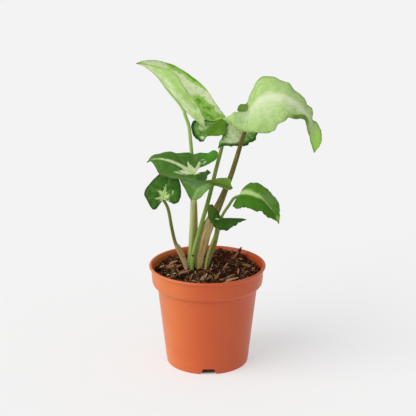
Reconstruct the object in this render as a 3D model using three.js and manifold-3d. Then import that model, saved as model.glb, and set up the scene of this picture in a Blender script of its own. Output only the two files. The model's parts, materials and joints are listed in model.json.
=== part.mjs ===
// A young arrowhead plant (Syngonium) in a round plastic nursery pot.
// Millimetres, +Z up. The origin is the middle of the pot's underside, and -Y is the front.
import * as THREE from 'three';
import { mergeVertices } from 'three/addons/utils/BufferGeometryUtils.js';
import Module from 'manifold-3d';

const wasm = await Module();
wasm.setup();

// ---- Driving dimensions -------------------------------------------------------------------
const GAP = 0.3;                 // clearance between pieces that touch
const TURN_STEPS = 48;           // facets round the pot and the soil

const POT_HEIGHT = 79;
const RIM_RADIUS = 45;           // outside of the rounded lip
const BODY_TOP_RADIUS = 38.7;    // body wall, just under the collar
const BASE_RADIUS = 31.8;
const COLLAR_DROP = 17;          // from the top of the lip to the collar's lower edge
const COLLAR_FOOT_INSET = 2.4;   // how far the collar's wall lies inside the lip, at its foot
const COLLAR_TOP_INSET = 1.6;    // and at its top
const COLLAR_BEND = 2.6;         // height over which the body swings out to the collar
const LIP_RADIUS = 1.1;          // the lip is a half-round bead
const LIP_STEPS = 6;
const WALL = 1.2;
const FLOOR_UNDERSIDE = 4.6;     // recess between the foot ring and the middle pad
const PAD_RADIUS = 11;
const FOOT_RING_WIDTH = 3.4;
const FOOT_CHAMFER = 0.6;
const RIDGE_HEIGHT = 5.8;        // middle of a faint moulded ring above the foot
const RIDGE_HALF_HEIGHT = 0.5;
const RIDGE_PROUD = 0.35;
const NOTCH_COUNT = 4;
const NOTCH_TOP_WIDTH = 8.4;
const NOTCH_BOTTOM_WIDTH = 12.8;
const NOTCH_TURN = THREE.MathUtils.degToRad(1.6);  // the first notch is a little right of the front
const DRAIN_COUNT = 6;
const DRAIN_RADIUS = 2.5;
const DRAIN_SIDES = 12;
const OVERCUT = 1;               // cutting shapes reach this far past what they cut

const SOIL_LEVEL = 71.6;         // before its mound, bank and hollow
const SOIL_RINGS = 6;            // rings of mesh points on the soil's top
const EDGE_SETTLE = 0.5;         // the soil sits lower along the pot's wall
const CROWN_TOP = 66;            // the stalks stand on the buried crown
const CROWN_HEIGHT = 16;
const CROWN_SHOULDER = 4;        // straight part at the crown's top
const CROWN_CENTRE = [-8, 11.5];
const CROWN_RADIUS = 11.5;
const CROWN_DEPTH_RATIO = 0.8;   // the crown is narrower from front to back
const CROWN_SIDES = 16;
const ROOT_COUNT = 4;
const ROOT_BEND = 3;
// A root's points: reach from the crown's middle, depth under its top, half width.
const ROOT_PATH = [[3, 9, 1.4], [9, 18, 1.2], [12, 34, 0.9], [13, 50, 0.6]];

const BLADE_THICKNESS = 0.7;
const ACROSS_STEPS = 4;          // mesh steps from midrib to margin
const STALK_SIDES = 8;
const ROOT_SIDES = 5;
const STEPS_PER_POINT = 2;       // mesh steps between two points of a stalk
const FINE_STEPS = 30;           // measuring steps to each mesh step along an edge
const ROUND_STALK = 1.6;         // a stalk wider than this is a flattened sheath
const SHEATH_DEPTH_GAIN = 0.35;
const RIB_REACH = 0.6;           // the thick midrib runs this far along the blade
const RIB_END_RADIUS = 0.45;
const RIB_START_SHARE = 0.8;     // width of the midrib beside that of the stalk's top

// ---- Leaves -------------------------------------------------------------------------------
// Each leaf is one piece: a stalk, a blade in two halves, and the midrib between them.
// stalk:  [x, y, z, half width] from the crown upwards; it ends where the midrib starts.
// rib:    the midrib's further points, out to the leaf tip.
// left, right: the halves as seen on the upper face with the tip ahead.
//   sinus:    edge from the stalk's top back to the tip of the basal lobe.
//   margin:   outer edge from the lobe tip forward, without the leaf tip.
//   shoulder: which point of the margin lies beside the stalk's top.
//   camber:   how far the half bulges towards its upper face, as a share of its width.
// fold:   a flap of the left lobe, turned over towards its upper face. Its hinge runs along the
//         sinus from one of its points (hinge) to the stalk's top.
// steps:  mesh steps along the lobe and along the rest of the blade.
const LEAVES = [
  {
    name: 'leaf_upper_left',
    colour: 0x9cc45f,
    steps: [4, 14],
    stalk: [
      [-10.8, 15.6, 66.3, 1.5], [-10.8, 15.6, 72, 1.5], [-9, 13.2, 98.5, 1.5], [-9.5, 10.8, 127.5, 1.5],
      [-11.5, 8.5, 159.5, 1.4], [-13.5, 7, 183, 1.3], [-16, 5, 197.5, 1.3],
    ],
    rib: [[-20.5, 4, 204.5], [-29, 2.5, 214.5], [-37, 1, 225], [-45.5, -0.5, 232], [-52, -2, 235]],
    left: {
      sinus: [[-9.5, -1, 193], [-1.5, -4, 187.5]],
      margin: [
        [-2.5, -8, 195.5], [-7.5, -11, 206], [-13, -12.5, 213.5], [-17.5, -13, 220.5],
        [-23, -11.5, 228.5], [-31, -8.5, 232], [-40, -5, 234],
      ],
      shoulder: 2,
      camber: -0.16,
    },
    right: {
      sinus: [[-8, 10, 193.5], [3, 15, 188], [9, 17, 188.6], [14, 18, 190.7]],
      margin: [
        [6.5, 20, 200.5], [-0.5, 21, 211], [-8, 20.5, 218.5], [-15, 19, 224], [-24.5, 15, 230.5],
        [-36, 9, 235], [-45, 3, 236.5],
      ],
      shoulder: 1,
      camber: -0.12,
    },
  },
  {
    name: 'leaf_upper_right',
    colour: 0xb4cf8c,
    steps: [5, 16],
    stalk: [
      [-6.5, 11, 66.3, 3], [-6.5, 11, 72, 3.1], [-6, 10.3, 82, 3.8], [-4, 9.5, 91, 4.6], [-1, 8, 103, 4.6],
      [8.5, 6.5, 123.5, 3], [14, 5, 137.5, 2.2], [19, 3, 153, 1.9], [22.5, 1, 163, 1.8],
      [27.5, 0, 182.5, 1.6], [32, 3, 198.5, 1.4],
    ],
    rib: [
      [38.5, 2, 206.5], [45.5, 0, 209.5], [53.5, -2, 210.5], [60, -3.5, 208.5], [67, -4.5, 204],
      [73.5, -4, 197], [78.5, -1, 187], [80.5, 2, 176.5], [80.5, 4, 166],
    ],
    left: {
      sinus: [[29, 8, 196], [26, 12, 194.8], [22.5, 15, 196.3]],
      margin: [
        [24.5, 16, 200.5], [29.5, 15, 201], [31.5, 14.5, 206], [35, 14, 213.5], [37.5, 14, 219],
        [42, 14, 222], [48.5, 13, 222], [54, 12, 220], [61, 10, 217.5], [65.4, 8, 212.3],
        [70.5, 6.5, 209.2], [73.5, 5.5, 205.7], [74.2, 4.8, 202.4], [77.4, 3.6, 200.5],
        [78.5, 3, 196.8], [78.3, 2.8, 192], [82.1, 2.5, 189.3], [84.8, 2.8, 183.5], [85.5, 5, 174],
      ],
      shoulder: 3,
      camber: 0.05,
    },
    right: {
      sinus: [[28.5, -1, 198.5], [24.5, -4, 199], [19.5, -6, 199.2], [16.5, -7, 197], [10.5, -8, 194.6]],
      margin: [
        [18.5, -12, 191], [22, -14, 188], [29, -16, 187], [35, -17, 186.5], [42.5, -17, 186],
        [49, -16, 187.5], [52, -15, 192.5], [56.5, -14, 194], [59.5, -12, 196.5], [65.5, -8, 194.5],
        [71, -8, 194.5], [74, -6, 187], [76.5, -2, 177],
      ],
      shoulder: 3,
      camber: 0.1,
    },
  },
  {
    name: 'leaf_middle_back',
    colour: 0x6f9b52,
    steps: [5, 10],
    stalk: [
      [-12.2, 8.6, 66.3, 1.6], [-12.2, 8.6, 72, 1.7], [-10.9, 7.2, 83, 1.7], [-7.6, 5.6, 98.5, 1.6],
      [0.5, 6, 127, 1.6], [6.5, 8.5, 151.5, 1.5], [11, 9, 169.5, 1.4], [14, 8, 187, 1.2],
    ],
    rib: [[23, 16, 191], [34, 26, 192], [44, 38, 188.5]],
    left: {
      sinus: [
        [13.9, 7.5, 182.8], [12, 7, 179.9], [8, 7, 178.7], [1.5, 7, 178.6], [-0.6, 7.3, 177.5],
        [-2.9, 8, 173.8],
      ],
      margin: [
        [-5.5, 8, 173.8], [-7.8, 8, 175.5], [-10.2, 9, 178], [-12, 9.5, 182.5], [-12, 10, 186.5],
        [-9.5, 10.5, 190], [-3.5, 15.5, 189.2], [4, 20.5, 187.8], [12.5, 24, 187.4], [22, 29, 188],
        [33, 34, 190.5],
      ],
      shoulder: 8,
      camber: -0.08,
    },
    right: {
      sinus: [[14.5, 10, 184.2], [14.2, 9.5, 181.2], [13, 6.5, 178.5], [9.5, 4.5, 175.5], [8, 3, 169.5]],
      margin: [
        [12, 3, 171.5], [18, 3, 171.5], [24, 4, 171.5], [28.5, 5, 171], [31.5, 7, 172.5],
        [36, 10, 174.5], [38, 15, 178], [42, 25, 183.5],
      ],
      shoulder: 4,
      camber: 0.06,
    },
    fold: {
      hinge: 4,
      margin: [
        [-2.9, 3, 181], [-1, 2, 183.9], [2, 0.5, 187.5], [5.3, 0, 190.4], [9.1, 1, 192],
        [12.8, 4, 190.8], [14.2, 6, 188.9],
      ],
      camber: 0.1,
    },
  },
  {
    name: 'leaf_middle_left',
    colour: 0x3f7a33,
    steps: [5, 12],
    stalk: [
      [-14.6, 15.2, 66.3, 1.3], [-14.6, 15.2, 72, 1.3], [-12.9, 13.3, 98, 1.3], [-11.7, 8.4, 123.5, 1.3],
      [-11.5, 5.6, 138, 1.2], [-11, 3.4, 147.5, 1.2], [-9.5, -4, 151.5, 1.2],
    ],
    rib: [
      [-17, -7, 156.5], [-21.5, -8.5, 160], [-27.5, -10, 163], [-34.5, -11, 165],
      [-40.5, -11, 164.5], [-45, -10, 162],
    ],
    left: {
      sinus: [[-5.5, -6, 153.5], [-1.5, -8, 154.6], [0, -8.3, 156.1], [2.7, -9, 153.9]],
      margin: [
        [0, -11, 152.5], [-1, -14, 149.5], [-10.5, -16, 150], [-19.5, -17, 151], [-26, -17.5, 152],
        [-31, -17.5, 153.5], [-35.5, -17, 155], [-39.3, -14, 161], [-42, -12, 163.5],
      ],
      shoulder: 3,
      camber: 0.1,
    },
    right: {
      sinus: [[-6, -1, 155.5], [-2.5, 0.5, 156.5], [2, 1.5, 158.5], [7, 2, 162], [8, 2.5, 166.5]],
      margin: [
        [5, 3, 168.5], [0, 3, 166], [-5, 2.5, 166.5], [-10, 2, 165.5], [-14.5, 1.5, 167],
        [-22, -0.5, 166.5], [-27.5, -2.5, 168.5], [-35, -5.5, 168], [-41, -8.5, 166.5],
      ],
      shoulder: 4,
      camber: 0.08,
    },
  },
  {
    name: 'leaf_lower_left',
    colour: 0x356f2b,
    steps: [3, 10],
    stalk: [
      [-16.2, 7.6, 66.3, 1.6], [-16.2, 7.6, 72, 1.7], [-18.8, 6.6, 81, 2.3], [-22.4, 4.6, 90, 2.2],
      [-24.8, 3.4, 95, 1.4], [-27.2, -2, 108.5, 1.3], [-29.5, -9, 125.5, 1.2], [-33, -14, 134.5, 1.1],
    ],
    rib: [[-31.5, -13, 141.5], [-29.5, -10.5, 149], [-28.5, -8, 154.5]],
    left: {
      sinus: [[-35, -15, 132], [-38.1, -16, 128]],
      margin: [
        [-40.1, -16, 127.3], [-42.1, -16, 128.8], [-45.5, -15.5, 135.5], [-47, -15, 139],
        [-46, -14, 142.5], [-42.5, -12, 147], [-38.5, -10.5, 151], [-34, -9, 154],
      ],
      shoulder: 3,
      camber: 0.08,
    },
    right: {
      sinus: [[-29.5, -16, 134], [-25, -17, 132]],
      margin: [
        [-22, -16.5, 133], [-20, -15.5, 136.5], [-19.5, -14, 141.5], [-20.3, -12, 147],
        [-22.8, -10, 152],
      ],
      shoulder: 2,
      camber: 0.08,
    },
  },
  {
    name: 'leaf_centre_cupped',
    colour: 0x5c9450,
    steps: [2, 12],
    stalk: [
      [-13.2, 12.4, 66.3, 1.4], [-13.2, 12.4, 72, 1.4], [-12.4, 11, 90.5, 1.6], [-11.6, 8, 108.5, 1.6],
      [-11, 3.5, 123.5, 1.6], [-10.5, -1, 131.5, 1.5],
    ],
    rib: [[-7, -5, 140], [-2, -6, 144], [5, -4, 144.5], [12, -3, 143.5], [19.3, -2, 140.1]],
    left: {
      sinus: [[-12.5, -2, 131]],
      margin: [
        [-15, -2, 135], [-17, -3, 139.5], [-19.3, -4.5, 144.5], [-20.3, -6.5, 148.3],
        [-14.5, -7.5, 148.5], [-8.5, -6, 147.2], [-3, -3, 146.2], [2, 0, 145.9], [8, 0, 147.3],
        [15.5, 0, 147.5], [18.2, -1, 146], [17.7, -1.5, 143.2],
      ],
      shoulder: 1,
      camber: -0.1,
    },
    right: {
      sinus: [[-9.5, -5, 131.5]],
      margin: [
        [-6.5, -9, 134], [-3.5, -10, 136.5], [0, -9.5, 140.5], [3.5, -7, 143], [7.5, -5, 142.5],
        [12, -4, 140.5], [17, -3, 138.9],
      ],
      shoulder: 1,
      camber: -0.1,
    },
  },
  {
    name: 'leaf_right',
    colour: 0x4c8a34,
    steps: [3, 10],
    stalk: [
      [-0.8, 12, 66.3, 1.9], [-0.8, 12, 72, 2], [1.6, 10.8, 82, 2.5], [4.6, 9.5, 91, 2.5],
      [7.3, 7.2, 101, 1.9], [11, 4, 115.5, 1.2], [16.5, 0, 126, 1.1], [20, -2, 132, 1.1],
      [24.5, -3, 135.5, 1],
    ],
    rib: [
      [30.5, -6, 137], [36.5, -8, 136], [40.5, -9, 134], [44.5, -10, 130], [50, -10, 123.5],
      [54, -9, 114],
    ],
    left: {
      sinus: [[27, 1, 136.4], [29.8, 6, 137.3]],
      margin: [
        [31.6, 6, 140.3], [33.6, 6, 141.6], [37.5, 5, 142.2], [43.4, 3, 139.3], [48.3, 1, 135.4],
        [53.1, -1, 129.4], [55, -4, 121.8],
      ],
      shoulder: 2,
      camber: 0.1,
    },
    right: {
      sinus: [[21.5, -6, 132], [19, -11, 128.5]],
      margin: [
        [22.5, -14, 127], [26, -15, 129.5], [31.5, -16, 128], [36.5, -16, 126.5], [41, -16, 125.5],
        [45, -15, 121.5], [51, -12, 118],
      ],
      shoulder: 2,
      camber: 0.1,
    },
  },
  {
    name: 'leaf_front_small',
    colour: 0x2f6b2d,
    steps: [4, 9],
    stalk: [
      [-1.2, 8, 66.3, 1.1], [-1.2, 8, 72, 1.1], [0.6, 6.6, 82, 1.1], [3, 5, 91, 1.1], [5.9, 2.2, 101, 1.1],
      [6.8, -3, 108, 1], [7.3, -9, 114, 1], [7.5, -13, 118.5, 0.9],
    ],
    rib: [[14, -12, 119], [21.5, -12, 119], [29.5, -13, 118.5]],
    left: {
      sinus: [[3.5, -12.8, 117.5], [1, -12.5, 119], [0.4, -12, 123], [0.4, -10.5, 126.5], [1.6, -8, 128.8]],
      margin: [
        [3.7, -7.5, 128.3], [6.2, -7, 125.4], [8.5, -7.5, 121.5], [10.3, -7.3, 118.6],
        [13, -7, 117.6], [19.4, -7, 117.3], [25.4, -9, 117.9],
      ],
      shoulder: 3,
      camber: 0.06,
    },
    right: {
      sinus: [[4.5, -14.5, 119], [2, -15, 117]],
      margin: [
        [3.5, -17, 116], [6, -19, 114], [10.5, -20, 113], [15, -20, 112.5], [18.5, -19, 115],
        [21.5, -17.5, 116], [26.5, -15, 118],
      ],
      shoulder: 2,
      camber: 0.08,
    },
  },
];

// ---- Soil surface -------------------------------------------------------------------------
// Rises and dips of the soil's top, each a bell of a height and a spread.
const SOIL_BELLS = [
  { at: [16, 33], height: 5.6, spread: 16 },     // mound at the back
  { at: [-28, 26], height: 2.6, spread: 10.5 },  // bank at the left
  { at: [-6, 8], height: -1.4, spread: 9.2 },    // hollow round the stalks
];
const BROAD_LUMP = { height: 0.7, size: 2.5 };
const FINE_LUMP = { height: 0.4, size: 1.2 };
const GRAIN = 0.5;

// Bark chips in plain sight: place, [length, width, thickness], turn and tilt in degrees.
const PLACED_CHIPS = [
  { at: [-30, 11], size: [12, 7, 1.4], turn: 12, tilt: 8 },
  { at: [-24, 8], size: [9, 1.8, 1.2], turn: 30, tilt: 18 },
  { at: [-17, -1], size: [10, 2, 1.3], turn: 8, tilt: 4 },
  { at: [-1, -11], size: [10, 1.8, 1.4], turn: 55, tilt: 14 },
  { at: [8, -14], size: [9, 2.2, 1.3], turn: 35, tilt: 10 },
  { at: [18, -17], size: [11, 3.4, 1.3], turn: 20, tilt: 6 },
  { at: [17, -10], size: [9, 2.2, 1.2], turn: 28, tilt: 12 },
  { at: [23, 25], size: [15, 2.2, 2], turn: 38, tilt: 50 },
  { at: [29, 9], size: [11, 1.4, 1.2], turn: -28, tilt: 10 },
];
const SCATTER = {
  seed: 11,
  count: 22,
  reach: 35,
  length: [4, 8],
  width: [1.4, 3],
  thickness: [1.1, 1.7],
  tilt: [-0.25, 0.25],
};
const CHIP_SINK = 0.35;          // share of its thickness that a chip sinks into the soil
const CHIP_SKEW = [0.15, 0.2];   // a corner is out of square by these shares of length and width

// ---- Helpers ------------------------------------------------------------------------------
const vector = ([x, y, z]) => new THREE.Vector3(x, y, z);

function seededRandom(seed) {
  let state = seed;
  return () => {
    state = (state * 16807) % 2147483647;
    return state / 2147483647;
  };
}

const between = (random, [low, high]) => low + (high - low) * random();

function curveThrough(points) {
  return new THREE.CatmullRomCurve3(points, false, 'catmullrom', 0.5);
}

// Points at equal spacing along the stretch of a curve between two of its parameters.
function spaced(curve, from, to, steps) {
  const fineSteps = FINE_STEPS * steps;
  const fine = [];
  const reach = [0];
  for (let k = 0; k <= fineSteps; k++) {
    fine.push(curve.getPoint(from + ((to - from) * k) / fineSteps));
    if (k > 0) reach.push(reach[k - 1] + fine[k].distanceTo(fine[k - 1]));
  }
  const points = [];
  let k = 0;
  for (let i = 0; i <= steps; i++) {
    const wanted = (reach[fineSteps] * i) / steps;
    while (k < fineSteps - 1 && reach[k + 1] < wanted) k++;
    const share = (wanted - reach[k]) / (reach[k + 1] - reach[k]);
    points.push(fine[k].clone().lerp(fine[k + 1], share));
  }
  return points;
}

function toSolid(geometry) {
  const bare = geometry.clone();
  bare.deleteAttribute('normal');
  bare.deleteAttribute('uv');
  const merged = mergeVertices(bare, 1e-4);
  return new wasm.Manifold(new wasm.Mesh({
    numProp: 3,
    vertProperties: merged.attributes.position.array,
    triVerts: merged.index.array,
  }));
}

function toGeometry(solid) {
  const mesh = solid.getMesh();
  const geometry = new THREE.BufferGeometry();
  geometry.setAttribute('position', new THREE.BufferAttribute(mesh.vertProperties, 3));
  geometry.setIndex(new THREE.BufferAttribute(mesh.triVerts, 1));
  geometry.computeVertexNormals();
  return geometry;
}

// A body of revolution about Z; the profile is [radius, z] and starts and ends on the axis.
function turned(profile) {
  const geometry = new THREE.LatheGeometry(profile.map(([r, z]) => new THREE.Vector2(r, z)), TURN_STEPS);
  return geometry.rotateX(Math.PI / 2);
}

// A tapering round or flattened rod along points that carry their half width as w.
// extra grows it on all sides, also past its ends.
function rod(points, extra = 0, sides = STALK_SIDES) {
  const path = curveThrough(points.map(({ x, y, z }) => new THREE.Vector3(x, y, z)));
  const widths = curveThrough(points.map(({ w }) => new THREE.Vector3(w, 0, 0)));
  const steps = STEPS_PER_POINT * (points.length - 1);
  const geometry = new THREE.CylinderGeometry(1, 1, 1, sides, steps);
  const position = geometry.attributes.position;
  for (let i = 0; i < position.count; i++) {
    const along = THREE.MathUtils.clamp(position.getY(i) + 0.5, 0, 1);
    const half = widths.getPoint(along).x;
    const thin = half > ROUND_STALK ? ROUND_STALK + (half - ROUND_STALK) * SHEATH_DEPTH_GAIN : half;
    const tangent = path.getTangent(along);
    const front = new THREE.Vector3(0, 1, 0);
    front.addScaledVector(tangent, -front.dot(tangent)).normalize();
    const side = new THREE.Vector3().crossVectors(tangent, front);
    const pastEnd = along < 1 ? (along > 0 ? 0 : -extra) : extra;
    const centre = path.getPoint(along).addScaledVector(tangent, pastEnd);
    centre.addScaledVector(side, position.getX(i) * (half + extra));
    centre.addScaledVector(front, position.getZ(i) * (thin + extra));
    position.setXYZ(i, centre.x, centre.y, centre.z);
  }
  return toSolid(geometry);
}

// ---- Blades -------------------------------------------------------------------------------
// A net of points between an inner and an outer edge, bulged towards its upper face.
function net(inner, outer, camber, side) {
  return inner.map((start, i) => {
    const ahead = inner[Math.min(i + 1, inner.length - 1)].clone().sub(inner[Math.max(i - 1, 0)]);
    const across = outer[i].clone().sub(start);
    const up = new THREE.Vector3().crossVectors(ahead, across).normalize().multiplyScalar(side);
    const row = [];
    for (let j = 0; j <= ACROSS_STEPS; j++) {
      const share = j / ACROSS_STEPS;
      const bulge = camber * across.length() * Math.sin(Math.PI * share);
      row.push(start.clone().addScaledVector(across, share).addScaledVector(up, bulge));
    }
    return row;
  });
}

// One half of a blade. side is 1 for the left half and -1 for the right half.
function halfNet(leaf, half, side) {
  const [lobeSteps, bladeSteps] = leaf.steps;
  const top = vector(leaf.stalk[leaf.stalk.length - 1]);
  const tip = vector(leaf.rib[leaf.rib.length - 1]);
  const lobeTip = vector(half.sinus[half.sinus.length - 1]);
  const sinus = curveThrough([top, ...half.sinus.map(vector)]);
  const rib = curveThrough([top, ...leaf.rib.map(vector)]);
  const margin = curveThrough([lobeTip, ...half.margin.map(vector), tip]);
  const shoulder = half.shoulder / (half.margin.length + 1);
  const inner = [...spaced(sinus, 1, 0, lobeSteps), ...spaced(rib, 0, 1, bladeSteps).slice(1)];
  const outer = [
    ...spaced(margin, 0, shoulder, lobeSteps),
    ...spaced(margin, shoulder, 1, bladeSteps).slice(1),
  ];
  return net(inner, outer, half.camber, side);
}

function foldNet(leaf) {
  const [lobeSteps] = leaf.steps;
  const top = vector(leaf.stalk[leaf.stalk.length - 1]);
  const sinus = curveThrough([top, ...leaf.left.sinus.map(vector)]);
  const hinge = leaf.fold.hinge / leaf.left.sinus.length;
  const margin = curveThrough([sinus.getPoint(hinge), ...leaf.fold.margin.map(vector), top]);
  return net(
    spaced(sinus, hinge, 0, 2 * lobeSteps),
    spaced(margin, 0, 1, 2 * lobeSteps),
    leaf.fold.camber,
    -1,
  );
}

// A sheet of triangles over nets, split alike on both faces, thickened into a closed solid.
function thickened(nets) {
  const corners = [];
  const indexOf = new Map();
  const cornerOf = (point) => {
    const key = point.toArray().map((value) => Math.round(value * 1000)).join();
    if (!indexOf.has(key)) {
      indexOf.set(key, corners.length);
      corners.push(point);
    }
    return indexOf.get(key);
  };
  const triangles = [];
  const addTriangle = (a, b, c, side) => {
    if (a === b || b === c || c === a) return;
    triangles.push(side > 0 ? [a, b, c] : [a, c, b]);
  };
  for (const { rows, side } of nets) {
    for (let i = 0; i + 1 < rows.length; i++) {
      for (let j = 0; j < ACROSS_STEPS; j++) {
        const [a, b] = [cornerOf(rows[i][j]), cornerOf(rows[i + 1][j])];
        const [c, d] = [cornerOf(rows[i + 1][j + 1]), cornerOf(rows[i][j + 1])];
        addTriangle(a, b, c, side);
        addTriangle(a, c, d, side);
      }
    }
  }
  return toSolid(thickenedSheet(corners, triangles));
}

function thickenedSheet(corners, triangles) {
  const normals = corners.map(() => new THREE.Vector3());
  const rimEdges = new Map();
  for (const triangle of triangles) {
    const [a, b, c] = triangle.map((index) => corners[index]);
    const normal = new THREE.Vector3().crossVectors(b.clone().sub(a), c.clone().sub(a));
    triangle.forEach((index, k) => {
      normals[index].add(normal);
      const next = triangle[(k + 1) % 3];
      if (!rimEdges.delete(`${next}_${index}`)) rimEdges.set(`${index}_${next}`, [index, next]);
    });
  }
  const positions = [];
  for (const side of [1, -1]) {
    corners.forEach((corner, k) => {
      const offset = normals[k].clone().normalize().multiplyScalar((side * BLADE_THICKNESS) / 2);
      positions.push(...corner.clone().add(offset).toArray());
    });
  }
  const under = corners.length;
  const faces = [];
  for (const [a, b, c] of triangles) faces.push(a, b, c, under + a, under + c, under + b);
  for (const [a, b] of rimEdges.values()) faces.push(a, under + a, under + b, a, under + b, b);
  const geometry = new THREE.BufferGeometry();
  geometry.setAttribute('position', new THREE.Float32BufferAttribute(positions, 3));
  geometry.setIndex(faces);
  return geometry;
}

function bladeSolid(leaf) {
  const halves = thickened([
    { rows: halfNet(leaf, leaf.left, 1), side: 1 },
    { rows: halfNet(leaf, leaf.right, -1), side: -1 },
  ]);
  return leaf.fold ? halves.add(thickened([{ rows: foldNet(leaf), side: -1 }])) : halves;
}

// The stalk and, beyond it, the thick part of the midrib as one tapering rod.
function stalkPoints(leaf) {
  const stalk = leaf.stalk.map(([x, y, z, w]) => ({ x, y, z, w }));
  const { w: topWidth } = stalk[stalk.length - 1];
  const rib = curveThrough([vector(leaf.stalk[leaf.stalk.length - 1]), ...leaf.rib.map(vector)]);
  const ribPoints = [1, 2, 3].map((k) => {
    const { x, y, z } = rib.getPointAt((RIB_REACH * k) / 3);
    return { x, y, z, w: THREE.MathUtils.lerp(topWidth * RIB_START_SHARE, RIB_END_RADIUS, k / 3) };
  });
  return [...stalk, ...ribPoints];
}

// ---- Pot ----------------------------------------------------------------------------------
const COLLAR_FOOT = POT_HEIGHT - COLLAR_DROP;
const FLOOR_TOP = FLOOR_UNDERSIDE + WALL;
const FOOT_INNER = BASE_RADIUS - FOOT_RING_WIDTH;

// Radius of the body's outer wall at a height.
function bodyRadius(z) {
  return BASE_RADIUS + ((BODY_TOP_RADIUS - BASE_RADIUS) * z) / COLLAR_FOOT;
}

// The inside of the pot, from the floor up to the lip.
const INSIDE = [
  [bodyRadius(FLOOR_TOP) - WALL, FLOOR_TOP],
  [BODY_TOP_RADIUS - WALL, COLLAR_FOOT],
  [RIM_RADIUS - COLLAR_FOOT_INSET - WALL, COLLAR_FOOT + COLLAR_BEND],
  [RIM_RADIUS - COLLAR_TOP_INSET - WALL, POT_HEIGHT - 2 * LIP_RADIUS],
];

function potProfile() {
  const foot = [
    [0, 0],
    [PAD_RADIUS, 0],
    [PAD_RADIUS + FOOT_CHAMFER, FLOOR_UNDERSIDE],
    [FOOT_INNER, FLOOR_UNDERSIDE],
    [FOOT_INNER, 0],
    [BASE_RADIUS - FOOT_CHAMFER, 0],
    [bodyRadius(FOOT_CHAMFER), FOOT_CHAMFER],
  ];
  const ridge = [-1, 0, 1].map((k) => {
    const z = RIDGE_HEIGHT + k * RIDGE_HALF_HEIGHT;
    return [bodyRadius(z) + (k === 0 ? RIDGE_PROUD : 0), z];
  });
  const collar = [
    [BODY_TOP_RADIUS, COLLAR_FOOT],
    [BODY_TOP_RADIUS + WALL, COLLAR_FOOT],
    [RIM_RADIUS - COLLAR_FOOT_INSET, COLLAR_FOOT + COLLAR_BEND],
    [RIM_RADIUS - COLLAR_TOP_INSET, POT_HEIGHT - 3 * LIP_RADIUS],
  ];
  const lip = [];
  for (let k = -1; k <= LIP_STEPS; k++) {
    const angle = (k * Math.PI) / LIP_STEPS;
    const radius = RIM_RADIUS - LIP_RADIUS * (1 - Math.cos(angle));
    lip.push([radius, POT_HEIGHT - LIP_RADIUS + LIP_RADIUS * Math.sin(angle)]);
  }
  return [...foot, ...ridge, ...collar, ...lip, ...[...INSIDE].reverse(), [0, FLOOR_TOP]];
}

function potSolid() {
  let pot = toSolid(turned(potProfile()));
  for (let k = 0; k < NOTCH_COUNT; k++) {
    pot = pot.subtract(toSolid(notch((k * 2 * Math.PI) / NOTCH_COUNT + NOTCH_TURN)));
  }
  for (let k = 0; k < DRAIN_COUNT; k++) {
    pot = pot.subtract(toSolid(drain(((k + 0.5) * 2 * Math.PI) / DRAIN_COUNT)));
  }
  return pot;
}

// A round drain hole through the floor.
function drain(turn) {
  const depth = WALL + 2 * OVERCUT;
  const geometry = new THREE.CylinderGeometry(DRAIN_RADIUS, DRAIN_RADIUS, depth, DRAIN_SIDES);
  geometry.rotateX(Math.PI / 2).translate((PAD_RADIUS + FOOT_INNER) / 2, 0, FLOOR_UNDERSIDE + WALL / 2);
  return geometry.rotateZ(turn);
}

// A drainage notch through the foot ring; turn 0 is the front.
function notch(turn) {
  const top = NOTCH_TOP_WIDTH / 2;
  const foot = NOTCH_BOTTOM_WIDTH / 2;
  const belowFoot = foot + ((foot - top) * OVERCUT) / FLOOR_UNDERSIDE;
  const outline = new THREE.Shape([
    new THREE.Vector2(-belowFoot, -OVERCUT),
    new THREE.Vector2(belowFoot, -OVERCUT),
    new THREE.Vector2(top, FLOOR_UNDERSIDE),
    new THREE.Vector2(-top, FLOOR_UNDERSIDE),
  ]);
  const depth = FOOT_RING_WIDTH + 2 * OVERCUT;
  const cut = new THREE.ExtrudeGeometry(outline, { depth, bevelEnabled: false });
  return cut.rotateX(Math.PI / 2).translate(0, -FOOT_INNER + OVERCUT, 0).rotateZ(turn);
}

// ---- Crown and roots ----------------------------------------------------------------------
// The buried crown: a round plug with an egg-shaped underside and roots. extra grows it.
function crownSolid(extra = 0) {
  const shoulder = CROWN_TOP - CROWN_SHOULDER;
  const profile = [];
  for (let k = 0; k <= 4; k++) {
    const angle = (k * Math.PI) / 8;
    const depth = CROWN_HEIGHT - CROWN_SHOULDER + extra;
    profile.push([(CROWN_RADIUS + extra) * Math.sin(angle), shoulder - depth * Math.cos(angle)]);
  }
  profile.push([CROWN_RADIUS + extra, CROWN_TOP + extra], [0, CROWN_TOP + extra]);
  const plug = new THREE.LatheGeometry(profile.map(([r, z]) => new THREE.Vector2(r, z)), CROWN_SIDES);
  plug.rotateX(Math.PI / 2).scale(1, CROWN_DEPTH_RATIO, 1).translate(...CROWN_CENTRE, 0);
  let crown = toSolid(plug);
  for (let k = 0; k < ROOT_COUNT; k++) {
    crown = crown.add(root((k * 2 * Math.PI) / ROOT_COUNT + 0.4, extra));
  }
  return crown;
}

function root(turn, extra) {
  const bend = ROOT_BEND * Math.cos(5 * turn);
  const points = ROOT_PATH.map(([reach, depth, w], k) => {
    const away = reach + bend * Math.sin((k * Math.PI) / (ROOT_PATH.length - 1));
    return {
      x: CROWN_CENTRE[0] + away * Math.cos(turn),
      y: CROWN_CENTRE[1] + away * CROWN_DEPTH_RATIO * Math.sin(turn),
      z: CROWN_TOP - depth,
      w,
    };
  });
  return rod(points, extra, ROOT_SIDES);
}

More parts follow.
